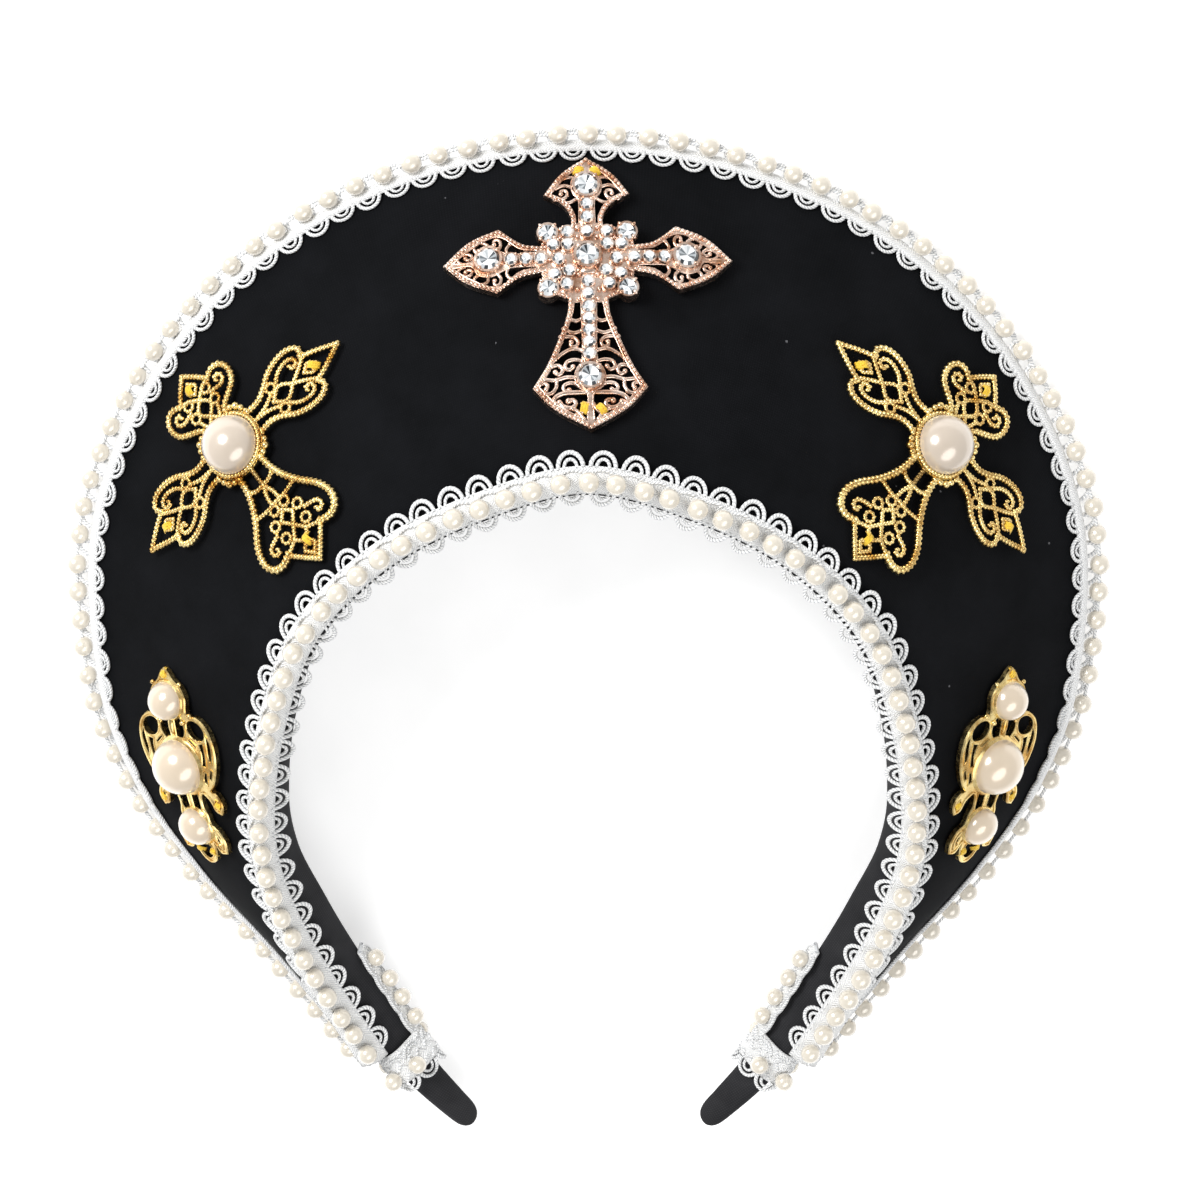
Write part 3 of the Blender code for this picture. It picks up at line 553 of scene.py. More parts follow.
# A finish is a material and the record's slot that it stands for.
CREPE = (black_cloth("black_crepe", "#08090B", "#141518", 0.01), "black_cloth")
SATEEN = (black_cloth("black_sateen", "#232325", "#3A3A3C", 0.05), "black_cloth")
CORD = (white_cord(), "lace")
BRAID = (white_braid(), "lace")
# Pearl finishes: the body colour, then the paler rim colour, which is painted reflection.
LACE_PEARL = (pearl_lacquer("ivory_pearl_lacquer", "#E2DACB", "#F6F2EA", 0.25), "white_pearl")
JEWEL_PEARL = (pearl_lacquer("cream_pearl_lacquer", "#D0C2B2", "#F6EFE6", 0.2), "cream_pearl")
BROOCH_PEARL = (pearl_lacquer("peach_pearl_lacquer", "#DECDB6", "#F8F0E2", 0.2), "cream_pearl")
# Gold finishes: the bright and the deep colour are painted highlight and painted shade tones of the metal.
ROSE = (plated_gold("rose_gold_plate", "#FFE9DA", "#BC8A68", 0.23), "rose_gold")
YELLOW = (plated_gold("yellow_gold_plate", "#F9E2A0", "#B58538", 0.25), "yellow_gold")
CRYSTAL = (cut_glass(), "crystal")
THREAD = (yellow_thread(), "lace")


# Cloth: the crescent and the headband


def crescent():
    rings = []
    for rim in RIMS[::2]:
        crown = (rim.normal + rim.hem_normal).normalized() * CROWN * rim.width / CROWN_WIDTH
        front = []
        back = []
        for step in range(17):
            t = step / 16
            lift = crown * 4 * t * (1 - t)
            front.append(rim.hem.lerp(rim.lip, t) + lift)
            back.append(rim.hem_back.lerp(rim.lip_back, t) + lift)
        nose = rim.edge + rim.across * 0.25
        half = rim.normal * WALL * 0.28
        rings.append([*front, nose + half, nose - half, *back[::-1]])
    outward(assemble("crescent_cloth", [skin(rings)], CREPE, "halo_panel"))


def mirrored(section):
    place, *sizes = section
    return [Vector((-place.x, place.y, place.z)), *sizes]


def band_sections():
    """The headband's sections in the CAD's rows, blended finely: place, width, thickness, lean."""
    rows = []
    for step in range(161):
        at = step / 80 - 1
        inset, drop, width, thickness, lean = along(BAND_ROWS, at)
        ahead = heading(inner_row, at)
        forward = squared(UP, ahead)
        place = inner_row(at) - forward.cross(ahead) * inset - forward * drop
        rows.append([place, width, thickness, abs(lean)])
    for row in BAND_END:
        end = [Vector(row[:3]), *row[3:]]
        rows = [mirrored(end), *rows, end]
    return rows


def band_at(sections, index):
    """One section's middle, width and thickness, with the directions to its back and its outside."""
    middle, width, thickness, lean = sections[index]
    before = sections[max(index - 1, 0)][0]
    after = sections[min(index + 1, len(sections) - 1)][0]
    ahead = (after - before).normalized()
    forward = squared(UP, ahead)
    outside = forward.cross(ahead)
    lean = math.radians(lean)
    back = -forward * math.cos(lean) - outside * math.sin(lean)
    out = outside * math.cos(lean) - forward * math.sin(lean)
    return middle, width, thickness, back, out


BAND_MIDDLES = band_sections()


def between(a, b, c, d, t):
    """A smooth step from b to c, led by their neighbours."""
    return b + ((c - a) + ((a * 2 - b * 5 + c * 4 - d) + (b * 3 - a - c * 3 + d) * t) * t) * (t * 0.5)


def tapered(rows):
    """The band's sections, with the steps to each tip blended and the tip closed round."""
    right = rows[len(rows) // 2 :]
    head, taper = right[: -len(BAND_END) - 1], right[-len(BAND_END) - 1 :]
    fine = []
    for here in range(len(taper) - 3):
        four = [taper[max(0, here + step)] for step in (-1, 0, 1, 2)]
        for part in range(4):
            fine.append([between(*(row[column] for row in four), part / 4) for column in range(4)])
    place, width, thickness, lean = taper[-3]
    for u in (0.0, 0.2, 0.4, 0.58, 0.72, 0.83, 0.91, 0.96, 0.99, 0.999):
        full = math.sqrt(1 - u**4)
        middle = place.lerp(BAND_TIP, u)
        fine.append([middle, width * (1 - 0.1 * u) * full, thickness * (1 - 0.2 * u) * full, lean])
    right = head + fine
    return [mirrored(row) for row in right[:0:-1]] + right


def fuller(value, power):
    """A sine or cosine drawn out towards a rectangle's corners."""
    return math.copysign(abs(value) ** power, value)


def headband():
    sections = tapered(BAND_MIDDLES)
    rings = []
    for index in range(len(sections)):
        middle, width, thickness, back, out = band_at(sections, index)
        ring = []
        for step in range(28):
            angle = math.tau * step / 28
            across = fuller(math.cos(angle), 0.55) * width / 2
            deep = fuller(math.sin(angle), 0.6) * thickness / 2 * 0.97
            ring.append(middle + back * across + out * deep)
        rings.append(ring)
    outward(assemble("headband_cloth", [skin(rings)], SATEEN, "headband"))


# Pearl lace


def add_ball(segments, rings):
    return added(bpy.ops.mesh.primitive_uv_sphere_add, segments=segments, ring_count=rings, radius=1)


def add_ring(radius, cord):
    torus = bpy.ops.mesh.primitive_torus_add
    return added(torus, major_segments=20, minor_segments=6, major_radius=radius, minor_radius=cord)


def cut_off(place, normal, fill=False):
    """Cuts away what lies past a plane."""
    bpy.ops.object.mode_set(mode="EDIT")
    bpy.ops.mesh.select_all(action="SELECT")
    bpy.ops.mesh.bisect(plane_co=place, plane_no=normal, clear_outer=True, use_fill=fill)
    bpy.ops.object.mode_set(mode="OBJECT")


def make_pearl():
    """A bead with its hole along x, a little flat at both ends."""
    item = add_ball(14, 9)
    for spot in item.data.vertices:
        if abs(spot.co.z) > 0.999:
            spot.co.z *= 0.86
    item.data.transform(Euler((0, math.pi / 2, 0)).to_matrix().to_4x4())
    return unit_of(item)


def make_loop(width, length, cord):
    """A U of cord, in the plane of x and y, that hangs from y 0 towards -y."""
    item = add_ring(width / 2, cord)
    cut_off((0, 0.01, 0), (0, 1, 0))
    for spot in item.data.vertices:
        centre = Vector((spot.co.x, spot.co.y, 0)).normalized() * width / 2
        off = spot.co - centre
        centre.y *= (length - cord) / (width / 2)
        spot.co = centre + off
    unit = unit_of(item)
    unit["uv"][:, 0] *= math.pi * (width / 2 + length)
    return unit


PEARL = make_pearl()
WIDE_LOOP = make_loop(5.3, 3.7, 0.47)
NARROW_LOOP = make_loop(2.75, 2.2, 0.37)
FOLD_LOOP = make_loop(3.4, 4.2, 0.5)


def set_at(unit, u, v, w, scale=1.0, turn=0.0):
    """A copy of a unit, scaled, turned in its plane and moved."""
    spots = unit["spots"] * np.array(scale)
    c, s = math.cos(turn), math.sin(turn)
    x = spots[:, 0] * c - spots[:, 1] * s
    y = spots[:, 0] * s + spots[:, 1] * c
    return unit, np.stack([x + u, y + v, spots[:, 2] + w], axis=1)


def laid(ground, copies):
    """Flat copies, laid on a track or a seat."""
    return [(unit, ground.lay(spots)) for unit, spots in copies]


def spaced(track, pitch, margin, wander):
    """Places along a track, nearly evenly spaced."""
    count = int((track.length - 2 * margin) / pitch)
    step = (track.length - 2 * margin) / count
    start = -track.length / 2 + margin
    return [start + step * (n + 0.5) + chance.uniform(-wander, wander) for n in range(count)]


def lay_loops(track, runs, reach, lift=0.0, flip=1):
    """Two cord loops, one in the other, at each place of a track's edge."""
    flat = []
    for run in runs:
        far = at_run(reach, run) * chance.uniform(0.93, 1.05)
        lean = chance.uniform(-0.06, 0.06)
        rise = lift + chance.uniform(0, 0.15)
        for unit in (WIDE_LOOP, NARROW_LOOP):
            flat.append(set_at(unit, run, 0.0, rise, (1, far * flip, 1), lean * flip))
    return laid(track, flat)


def lay_pearls(track, runs, size, side=0.0, front=0.0):
    copies = []
    for run in runs:
        spots = PEARL["spots"] * size * chance.uniform(0.97, 1.03)
        across = at_run(side, run) + chance.uniform(-0.15, 0.15)
        copies.append((PEARL, track.set_down(spots, run, across, at_run(front, run))))
    return copies


def stations(low, high, step):
    count = max(4, int((high - low) / step))
    return [low + (high - low) * n / count for n in range(count + 1)]


def lay_tape(track, outline, step=1.6):
    """A strip along a track. Its section is closed, in side and front."""
    runs = stations(-track.length / 2, track.length / 2, step)
    return skin([track.lay([(run, *spot) for spot in at_run(outline, run)]) for run in runs])


def lay_thread(track, side, front, radius, wave=0.0, pitch=6.0, phase=0.0, ends=None):
    """A round thread along a track, straight or in waves. Its uv goes once round it from 0 to 1."""
    low, high = ends or (-track.length / 2, track.length / 2)
    rings = []
    for run in stations(low, high, min(0.9, pitch / 7)):
        sway = wave * math.cos(math.tau * (run - phase) / pitch)
        place = (run, at_run(side, run) + sway, at_run(front, run))
        rings.append(track.lay(ring_of(place, (0, 1), radius, radius)))
    unit, spots = skin(rings)
    unit["uv"] = unit["uv"] / np.array([1.0, math.tau * radius])
    return unit, spots


LOOP_PITCH = 6.5
INNER_PITCH = 5.95
OUTER_PITCH = 6.3
INNER_PEARL = 2.3
OUTER_PEARL = 2.28


def inner_lace():
    row = rim_track(lambda r: (r.pearl, r.outward, r.forward))
    reaches = [max(2.85, HEM_GAP + WALL * math.sin(r.slope) + 0.4) for r in RIMS]
    edge = smoothly(reaches, row)

    def section(run):
        out = edge(run)
        return [
            (-3.0, -3.3), (-3.3, -2.9), (-2.5, -2.45), (-1.4, -1.9), (0.0, -1.5), (1.4, -1.9),
            (out - 0.5, -2.4), (out, -2.75), (out - 0.2, -3.2), (0.0, -3.3),
        ]

    def drooping(r):
        droop = math.radians(10 + 0.3 * math.degrees(r.slope))
        side = r.outward * math.cos(droop) + r.forward * math.sin(droop)
        front = r.forward * math.cos(droop) - r.outward * math.sin(droop)
        return r.pearl - r.outward * 2.5 - r.forward * 2.8, side, front

    inward = rim_track(drooping)
    places = [r.pearl + r.outward * (out - 0.4) - r.forward * 2.75 for r, out in zip(RIMS, reaches)]
    outside = Track(places, [-r.down for r in RIMS], [r.hem_normal for r in RIMS])
    cords = lay_loops(inward, spaced(inward, LOOP_PITCH, margin=1.5, wander=0.25), reach=1.1)
    cords += lay_loops(outside, spaced(outside, LOOP_PITCH + 0.1, margin=1.5, wander=0.25), reach=1.1)
    cords.append(lay_thread(row, side=1.9, front=-1.9, radius=0.4, wave=0.45, pitch=6.15, phase=3.0))
    assemble("inner_lace_braid", [lay_tape(row, section)], BRAID, "inner_lace")
    assemble("inner_lace_loops", cords, CORD)
    runs = spaced(row, INNER_PITCH, margin=1.2, wander=0.35)
    pearls = lay_pearls(row, runs, INNER_PEARL)
    assemble("inner_lace_pearls", pearls, LACE_PEARL, "inner_pearl_string")


def shown(at):
    """How much of the loops is on the front. Low on each side the lace slips round to the back."""
    return max(0.12, min(1.0, (0.78 - abs(at)) / 0.18))


def front_leg(rim):
    """How far the lace and its loops reach in from the fold, in front."""
    return min(3.5 + 0.7 * rim.turn / 55 - 2.0 * (1 - shown(rim.at)), rim.width - 5.5)


def back_leg(rim):
    return min(4.2 - 1.9 * rim.turn / 55, rim.width - 5.5)


def front_ground(leg):
    """How far the braid alone reaches in, without its loops."""
    return max(leg - 3.0, 1.2)


def back_ground(leg):
    return max(leg - 2.6, 1.0)


def outer_lace():
    edge = rim_track(lambda r: (r.edge, r.across, r.normal))
    turn = smoothly([math.radians(r.turn) for r in RIMS], edge)
    tuck = smoothly([r.tuck for r in RIMS], edge)
    hang = smoothly([ramp(abs(r.at), 0.6, 0.2) for r in RIMS], edge)
    front_reach = smoothly([front_leg(r) for r in RIMS], edge)
    back_reach = smoothly([back_leg(r) for r in RIMS], edge)

    def section(run):
        front = -front_ground(front_reach(run))
        back = -back_ground(back_reach(run))
        return [
            (front, 1.55), (front - 0.1, 2.0), (front + 0.5, 2.4), (-0.6, 2.45), (0.8, 2.3), (1.6, 1.6),
            (1.95, 0.6), (1.95, -0.6), (1.6, -1.5), (0.5, -2.0), (-0.6, -2.2), (back + 0.4, -2.2),
            (back, -1.8), (back + 0.2, -1.5), (0.4, -1.4), (0.8, 0.0), (0.4, 1.45),
        ]

    def in_front(r):
        inset = front_ground(front_leg(r)) - 0.3
        return r.edge - r.across * inset + r.normal * 1.95, r.across, r.normal

    def behind(r):
        inset = back_ground(back_leg(r)) - 0.3
        return r.edge - r.across * inset - r.normal * 1.9, r.across, -r.normal

    def folded(r):
        angle = math.radians(r.turn)
        out = r.across * math.cos(angle) + r.normal * math.sin(angle)
        return r.edge + out * 1.2, -out, r.ahead.cross(out)

    def pearl_side(run):
        return 4.83 * math.cos(turn(run)) - FOLD_BACK + tuck(run) + 0.4 * hang(run)

    def pearl_front(run):
        return FOLD_REACH * math.sin(turn(run)) + 0.5 * tuck(run) + 1.1 * hang(run)

    assemble("outer_lace_braid", [lay_tape(edge, section)], BRAID, "outer_lace")
    front, back, fold = rim_track(in_front), rim_track(behind), rim_track(folded)
    reach = smoothly([0.78 * shown(r.at) for r in RIMS], front)
    cords = lay_loops(front, spaced(front, LOOP_PITCH, margin=1.5, wander=0.25), reach, lift=-0.05)
    cords += lay_loops(back, spaced(back, LOOP_PITCH, margin=1.5, wander=0.25), reach=0.8, lift=-0.25)
    runs = spaced(edge, OUTER_PITCH, margin=1.2, wander=0.35)
    ends = [runs[0] - OUTER_PITCH, *runs, runs[-1] + OUTER_PITCH]
    for before, after in zip(ends, ends[1:]):
        middle = (before + after) / 2 * fold.length / edge.length
        cords += laid(fold, [set_at(FOLD_LOOP, middle, 0.0, 0.0, turn=chance.uniform(-0.2, 0.2))])
    string_ends = (runs[0] - 3.0, runs[-1] + 3.0)
    cords.append(lay_thread(edge, pearl_side, pearl_front, radius=0.42, ends=string_ends))
    assemble("outer_lace_loops", cords, CORD)
    pearls = lay_pearls(edge, runs, OUTER_PEARL, pearl_side, pearl_front)
    assemble("outer_lace_pearls", pearls, LACE_PEARL, "outer_pearl_string")


# Jewellery: how it is seated and drawn

# place along the rim, share of the way out, turn, and the reach to the left, down, right and up
CROSS_SEAT = (0.0, 0.63, -1.2, -30, -39, 30, 22)
SIDE_CROSS_SEAT = (0.341, 0.567, 10.5, -31, -33, 31, 20)
BROOCH_SEAT = (0.625, 0.415, -56.0, -11, -25, 11, 21)
SEAT_GAP = 0.6
PLATE_CELL = 3.0


def surface_of(item):
    points = [vertex.co / MM for vertex in item.data.vertices]
    return BVHTree.FromPolygons(points, [tuple(face.vertices) for face in item.data.polygons])


def bend_terms(u, v):
    return np.stack([np.ones_like(u), u, v, u * u, u * v, v * v], axis=-1)


class Seat:
    """A place on the crescent, and how stiff metal laid there is bent to follow it."""

    def __init__(self, wall, seat, mirrored=False):
        at, share, turn, left, low, far, high = seat
        rim = Rim(at)
        self.mirrored = mirrored
        self.normal = rim.hem_normal.lerp(rim.normal, share).normalized()
        self.place = rim.hem.lerp(rim.lip, share)
        up = squared(rim.lip - rim.hem, self.normal)
        right = up.cross(self.normal)
        turn = math.radians(turn)
        self.up = up * math.cos(turn) + right * math.sin(turn)
        self.right = right * math.cos(turn) - up * math.sin(turn)
        touched = []
        for u in np.linspace(left, far, 13):
            for v in np.linspace(low, high, 13):
                start = self.place + self.right * u + self.up * v + self.normal * 50
                hit = wall.ray_cast(start, -self.normal)[0]
                if hit is not None:
                    touched.append((u, v, (hit - self.place).dot(self.normal)))
        u, v, heights = np.array(touched).T
        terms = bend_terms(u, v)
        self.bend = np.linalg.lstsq(terms, heights, rcond=None)[0]
        self.lift = float((heights - terms @ self.bend).max()) + SEAT_GAP

    def lay(self, points):
        """Points that were modelled flat, with x to the piece's right, y up and z out of it."""
        points = np.asarray(points, float).reshape(-1, 3)
        rise = bend_terms(points[:, 0], points[:, 1]) @ self.bend + self.lift + points[:, 2]
        result = np.array(self.place) + points[:, 0:1] * np.array(self.right)
        result = result + points[:, 1:2] * np.array(self.up) + rise[:, None] * np.array(self.normal)
        return result * np.array((-1.0, 1.0, 1.0)) if self.mirrored else result


def smooth_line(knots, closed=False, step=0.7, corner=62):
    """A smooth line through knots. Where it turns by more than a corner's angle it stays sharp."""
    points = [Vector(knot) for knot in knots]
    count = len(points)
    line = []
    for here in range(count if closed else count - 1):
        a, b = points[here], points[(here + 1) % count]
        before = points[here - 1] if closed or here else a
        after = points[(here + 2) % count] if closed or here + 2 < count else b
        chord = b - a
        leave = arrive = chord
        if math.degrees((a - before).angle(chord, math.pi)) <= corner:
            leave = (b - before).normalized() * chord.length
        if math.degrees(chord.angle(after - b, math.pi)) <= corner:
            arrive = (after - a).normalized() * chord.length
        parts = max(1, round(chord.length / step))
        for part in range(parts):
            t = part / parts
            line.append(
                a * (2 * t**3 - 3 * t**2 + 1)
                + b * (3 * t**2 - 2 * t**3)
                + leave * (t**3 - 2 * t**2 + t)
                + arrive * (t**3 - t**2)
            )
    return line if closed else line + points[-1:]


def ring_line(u, v, radius, count=10):
    angles = [math.tau * k / count for k in range(count)]
    return [Vector((u + radius * math.cos(a), v + radius * math.sin(a))) for a in angles]


def whole(half):
    """A closed outline from its right half, given from the top to the bottom."""
    return list(half) + [(-u, v) for u, v in reversed(half) if abs(u) > 1e-6]


def flipped(line, side, rise=1, middle=0.0):
    """A drawn line on the left or right side, and above or below a middle."""
    return [(side * u, middle + rise * v) for u, v in line]


def inset_line(line, depth):
    """A closed line moved inwards. The line goes round to the right."""
    moved = []
    for here, point in enumerate(line):
        ahead = (line[(here + 1) % len(line)] - line[here - 1]).normalized()
        moved.append(point + Vector((ahead.y, -ahead.x)) * depth)
    return moved


def inside(spot, loop):
    u, v = spot
    crossings = 0
    for a, b in zip(loop, loop[1:] + loop[:1]):
        if (a[1] > v) != (b[1] > v) and u < a[0] + (v - a[1]) / (b[1] - a[1]) * (b[0] - a[0]):
            crossings += 1
    return crossings % 2 == 1


def pierced_plate(outline, holes, low, high):
    """A plate cut through with holes. Points inside it, a cell apart, let it bend."""
    flat = []
    edges = []
    for loop in [outline] + holes:
        start = len(flat)
        flat += [Vector((p[0], p[1])) for p in loop]
        edges += [(start + n, start + (n + 1) % len(loop)) for n in range(len(loop))]
    reach = int(max(max(abs(p[0]), abs(p[1])) for p in outline) / PLATE_CELL) + 1
    for column in range(-reach, reach + 1):
        for row in range(-reach, reach + 1):
            spot = Vector((column + 0.03, row + 0.05)) * PLATE_CELL
            if inside(spot, outline):
                flat.append(spot)
    places, _, cells, _, _, _ = delaunay_2d_cdt(flat, edges, [], 0, 1e-4)
    kept = []
    for cell in cells:
        middle = sum((places[corner] for corner in cell), Vector((0, 0))) / len(cell)
        if inside(middle, outline) and not any(inside(middle, hole) for hole in holes):
            kept.append(tuple(cell))
    sides = dict.fromkeys(pair for cell in kept for pair in zip(cell, cell[1:] + cell[:1]))
    count = len(places)
    faces = [tuple(corner + count for corner in cell) for cell in kept]
    faces += [cell[::-1] for cell in kept]
    faces += [(a, b, b + count, a + count) for a, b in sides if (b, a) not in sides]
    spots = [(p.x, p.y, low) for p in places] + [(p.x, p.y, high) for p in places]
    unit = unit_from(spots, faces, np.zeros((sum(len(face) for face in faces), 2)))
    return unit, unit["spots"]


def wire(line, radius, height, closed=False, sides=6):
    """A round wire along a line of points, at a height over the plate's back."""
    count = len(line)
    rings = []
    for here, point in enumerate(line):
        before = line[here - 1] if here or closed else point
        after = line[(here + 1) % count] if here + 1 < count or closed else point
        ahead = (after - before).normalized()
        rings.append(ring_of((*point, height), (-ahead.y, ahead.x), radius, radius, sides))
    if closed:
        rings.append(rings[0])
    return skin(rings, caps=not closed)


def paced(line, pitch, closed=False):
    """Places and headings at an even pitch along a line."""
    points = line + line[:1] if closed else line
    runs = [0.0]
    for a, b in zip(points, points[1:]):
        runs.append(runs[-1] + (b - a).length)
    count = max(1, round(runs[-1] / pitch))
    places = []
    for n in range(count if closed else count + 1):
        run = runs[-1] * n / count
        here = max(0, min(len(points) - 2, int(np.searchsorted(runs, run, side="right")) - 1))
        a, b = points[here], points[here + 1]
        share = (run - runs[here]) / max(runs[here + 1] - runs[here], 1e-9)
        places.append((a.lerp(b, share), math.atan2(b.y - a.y, b.x - a.x)))
    return places


def make_dome():
    """The upper half of a ball, with a flat back."""
    item = add_ball(32, 16)
    cut_off((0, 0, -0.02), (0, 0, -1), True)
    unit = unit_of(item)
    unit["spots"][:, 2] *= 0.92
    return unit


def make_stone(sides):
    """A round brilliant: girdle, crown, and the pavilion seen through the table. Its uv holds one
    number for each facet, which sets how light or dark that facet's painted reflection is."""
    item = added(bpy.ops.mesh.primitive_circle_add, vertices=sides, radius=1, fill_type="NGON")
    bpy.ops.object.mode_set(mode="EDIT")
    bpy.ops.mesh.select_all(action="SELECT")
    bpy.ops.mesh.extrude_region_move(TRANSFORM_OT_translate={"value": (0, 0, 0.4)})
    bpy.ops.transform.resize(value=(0.66, 0.66, 1))
    bpy.ops.mesh.inset(thickness=0.03, depth=0)
    bpy.ops.mesh.poke(offset=-0.3)
    bpy.ops.object.mode_set(mode="OBJECT")
    unit = unit_of(item, smooth=False)
    # One random number for each facet: its painted reflection, from dark to light.
    bright = [chance.random() for _ in unit["sizes"]]
    unit["uv"] = np.repeat([(value, value) for value in bright], unit["sizes"], axis=0)
    return unit


def make_cup():
    """A thin collar of metal that holds a stone's girdle."""
    unit = unit_of(add_ring(1.05, 0.2))
    unit["spots"][:, 2] *= 2.2
    return unit


BEAD = unit_of(add_ball(8, 5))
DOME = make_dome()
STONE = make_stone(16)
SMALL_STONE = make_stone(8)
CUP = make_cup()


def roped(line, radius, height, closed=False):
    """Wire twisted so tightly that it shows as a row of slanted beads."""
    pitch = 0.52 + 0.55 * radius
    size = (0.54 * pitch, radius * 1.14, radius)
    copies = [wire(line, radius * 0.72, height, closed)]
    for place, angle in paced(line, pitch, closed):
        copies.append(set_at(BEAD, *place, height, size, angle + 0.55))
    return copies


def jewel_piece(name, seat, copies, finish, angle, *nodes):
    """A piece laid on its seat. Its edges stay sharp where they turn by more than the angle."""
    item = assemble(name, laid(seat, copies), finish, *nodes)
    outward(item)
    deselect_all()
    item.select_set(True)
    bpy.context.view_layer.objects.active = item
    bpy.ops.object.shade_smooth_by_angle(angle=math.radians(angle))
    item.select_set(False)


def sew_on(name, seat, stitches, height, size):
    """A few strands of thread at each place, which cross the metal and hold it to the cloth."""
    copies = []
    for u, v, turn in stitches:
        for strand in range(5):
            lean = turn + (strand % 2 - 0.5) * 0.6 + chance.uniform(-0.1, 0.1)
            shift = (strand - 2) * 0.27
            c, s = math.cos(lean), math.sin(lean)
            rings = []
            for step in range(7):
                t = step / 3 - 1
                x = t * 1.5 * size
                z = height + 0.7 * size - 1.3 * t * t * size
                rings.append(ring_of((u + x * c - shift * s, v + x * s + shift * c, z), (-s, c), 0.27, 0.24))
            copies.append(skin(rings))
    jewel_piece(name, seat, copies, THREAD, 70)


def four_round(u, v, reach):
    """Four places round a middle, on its diagonals, with the angle of each."""
    angles = [math.tau * (quarter + 0.5) / 4 for quarter in range(4)]
    return [(u + reach * math.cos(angle), v + reach * math.sin(angle), angle) for angle in angles]


# The central cross

CROSS_EDGE = [
    (0.0, 23.0), (5.4, 19.3), (9.2, 14.4), (5.4, 12.2), (3.5, 9.2), (3.4, 7.0), (6.0, 6.6), (9.9, 5.4),
    (9.9, 2.4), (14.0, 3.2), (19.0, 7.0), (25.4, 4.6), (31.0, -0.2), (26.0, -4.8), (19.4, -7.8),
    (14.6, -4.6), (9.9, -3.6), (9.6, -8.0), (6.0, -9.4), (4.2, -10.2), (4.7, -14.0), (6.9, -20.0),
    (9.3, -25.4), (12.2, -30.1), (7.7, -35.0), (0.0, -39.6),
]
CROSS_CORNERS = ((8.5, 5.1), (8.5, -7.8))
CROSS_OPENINGS = (
    # places to the right and up, the same on the left
    [(1.7, 7.4), (2.5, 7.4), (2.6, 9.4), (4.6, 12.8), (7.7, 14.6), (4.6, 18.5), (0.8, 21.4), (0.8, 19.8),
     (2.9, 18.0), (3.2, 16.0), (2.6, 14.2), (1.7, 13.4)],
    [(1.6, -10.7), (3.1, -10.8), (3.7, -14.0), (5.8, -19.8), (8.2, -25.4), (10.8, -29.9), (7.0, -34.0),
     (0.7, -37.9), (0.7, -31.2), (2.6, -30.0), (3.2, -27.8), (2.6, -25.6), (1.6, -24.8)],
)
CROSS_ARM_V = -0.5
CROSS_ARM_OPENINGS = (
    # places along the arm and across it, the same on the arm's other side
    [(10.8, 1.6), (16.8, 1.5), (18.4, 2.2), (19.8, 3.0), (21.6, 3.3), (23.6, 2.5), (24.8, 0.5),
     (29.0, 0.5), (25.4, 3.3), (19.3, 5.9), (14.4, 2.7), (10.8, 2.1)],
)
CROSS_SCROLLS = (
    # radius, and places to the right and up, the same on the left
    (0.45, [(1.9, 13.6), (3.6, 12.6), (5.0, 12.6)]),
    (0.45, [(6.8, 13.4), (5.4, 13.4), (4.2, 14.2), (4.4, 15.4), (5.4, 15.4), (5.5, 14.6)]),
    (0.45, [(3.0, 16.2), (5.0, 16.7), (7.4, 15.6)]),
    (0.45, [(2.4, 18.4), (4.0, 18.6), (5.4, 18.0)]),
    (0.5, [(1.6, -14.6), (2.9, -15.0), (4.4, -14.3)]),
    (0.5, [(1.6, -17.3), (3.4, -17.7), (5.4, -16.8)]),
    (0.5, [(6.1, -18.6), (4.6, -18.5), (3.2, -18.8), (2.4, -19.9), (3.0, -20.9), (4.0, -20.6), (3.9, -19.8)]),
    (0.5, [(1.6, -21.7), (3.6, -21.3), (5.6, -22.2), (7.4, -23.6)]),
    (0.5, [(1.6, -24.2), (3.2, -23.8), (4.8, -24.2), (5.3, -25.5), (4.3, -26.1), (3.6, -25.4)]),
    (0.5, [(8.2, -25.2), (6.6, -25.0), (5.8, -26.2), (6.6, -27.1), (7.4, -26.5)]),
    (0.5, [(3.0, -27.8), (5.0, -27.7), (7.4, -28.3), (9.8, -28.0)]),
    (0.5, [(3.0, -29.2), (4.4, -29.0), (5.7, -29.7), (5.5, -30.8), (4.5, -30.6)]),
    (0.5, [(7.2, -28.4), (7.2, -29.8), (8.2, -31.2), (9.6, -31.4)]),
    (0.5, [(11.0, -29.4), (10.0, -28.9), (9.0, -29.4), (9.4, -30.3)]),
    (0.6, [(0.6, -31.2), (3.4, -31.2), (6.0, -31.4), (7.8, -32.6), (7.4, -33.8)]),
    (0.6, [(6.6, -33.4), (5.6, -34.4), (4.0, -34.6), (3.1, -33.8), (3.7, -32.9), (4.7, -33.1)]),
    (0.5, [(0.5, -33.9), (1.4, -35.2), (3.2, -36.4)]),
    (0.5, [(4.0, -34.8), (2.6, -35.6), (1.6, -37.2)]),
    (0.5, [(5.7, -34.6), (5.0, -35.6)]),
)
CROSS_ARM_SCROLLS = (
    # radius, and places along the arm and across it, the same on the arm's other side
    (0.45, [(17.0, 1.4), (17.4, 2.8), (16.6, 4.0)]),
    (0.45, [(19.4, 2.6), (18.6, 3.8), (19.0, 5.2), (20.0, 5.1), (20.0, 4.2)]),
    (0.45, [(21.4, 3.0), (21.4, 4.2), (22.6, 4.9)]),
    (0.45, [(23.0, 2.4), (24.2, 3.1), (24.4, 4.3)]),
    (0.45, [(26.6, 2.6), (25.4, 2.5), (24.7, 1.6), (25.6, 1.1), (26.2, 1.6)]),
    (0.45, [(26.4, 0.2), (27.6, 0.8), (28.0, 1.6)]),
)
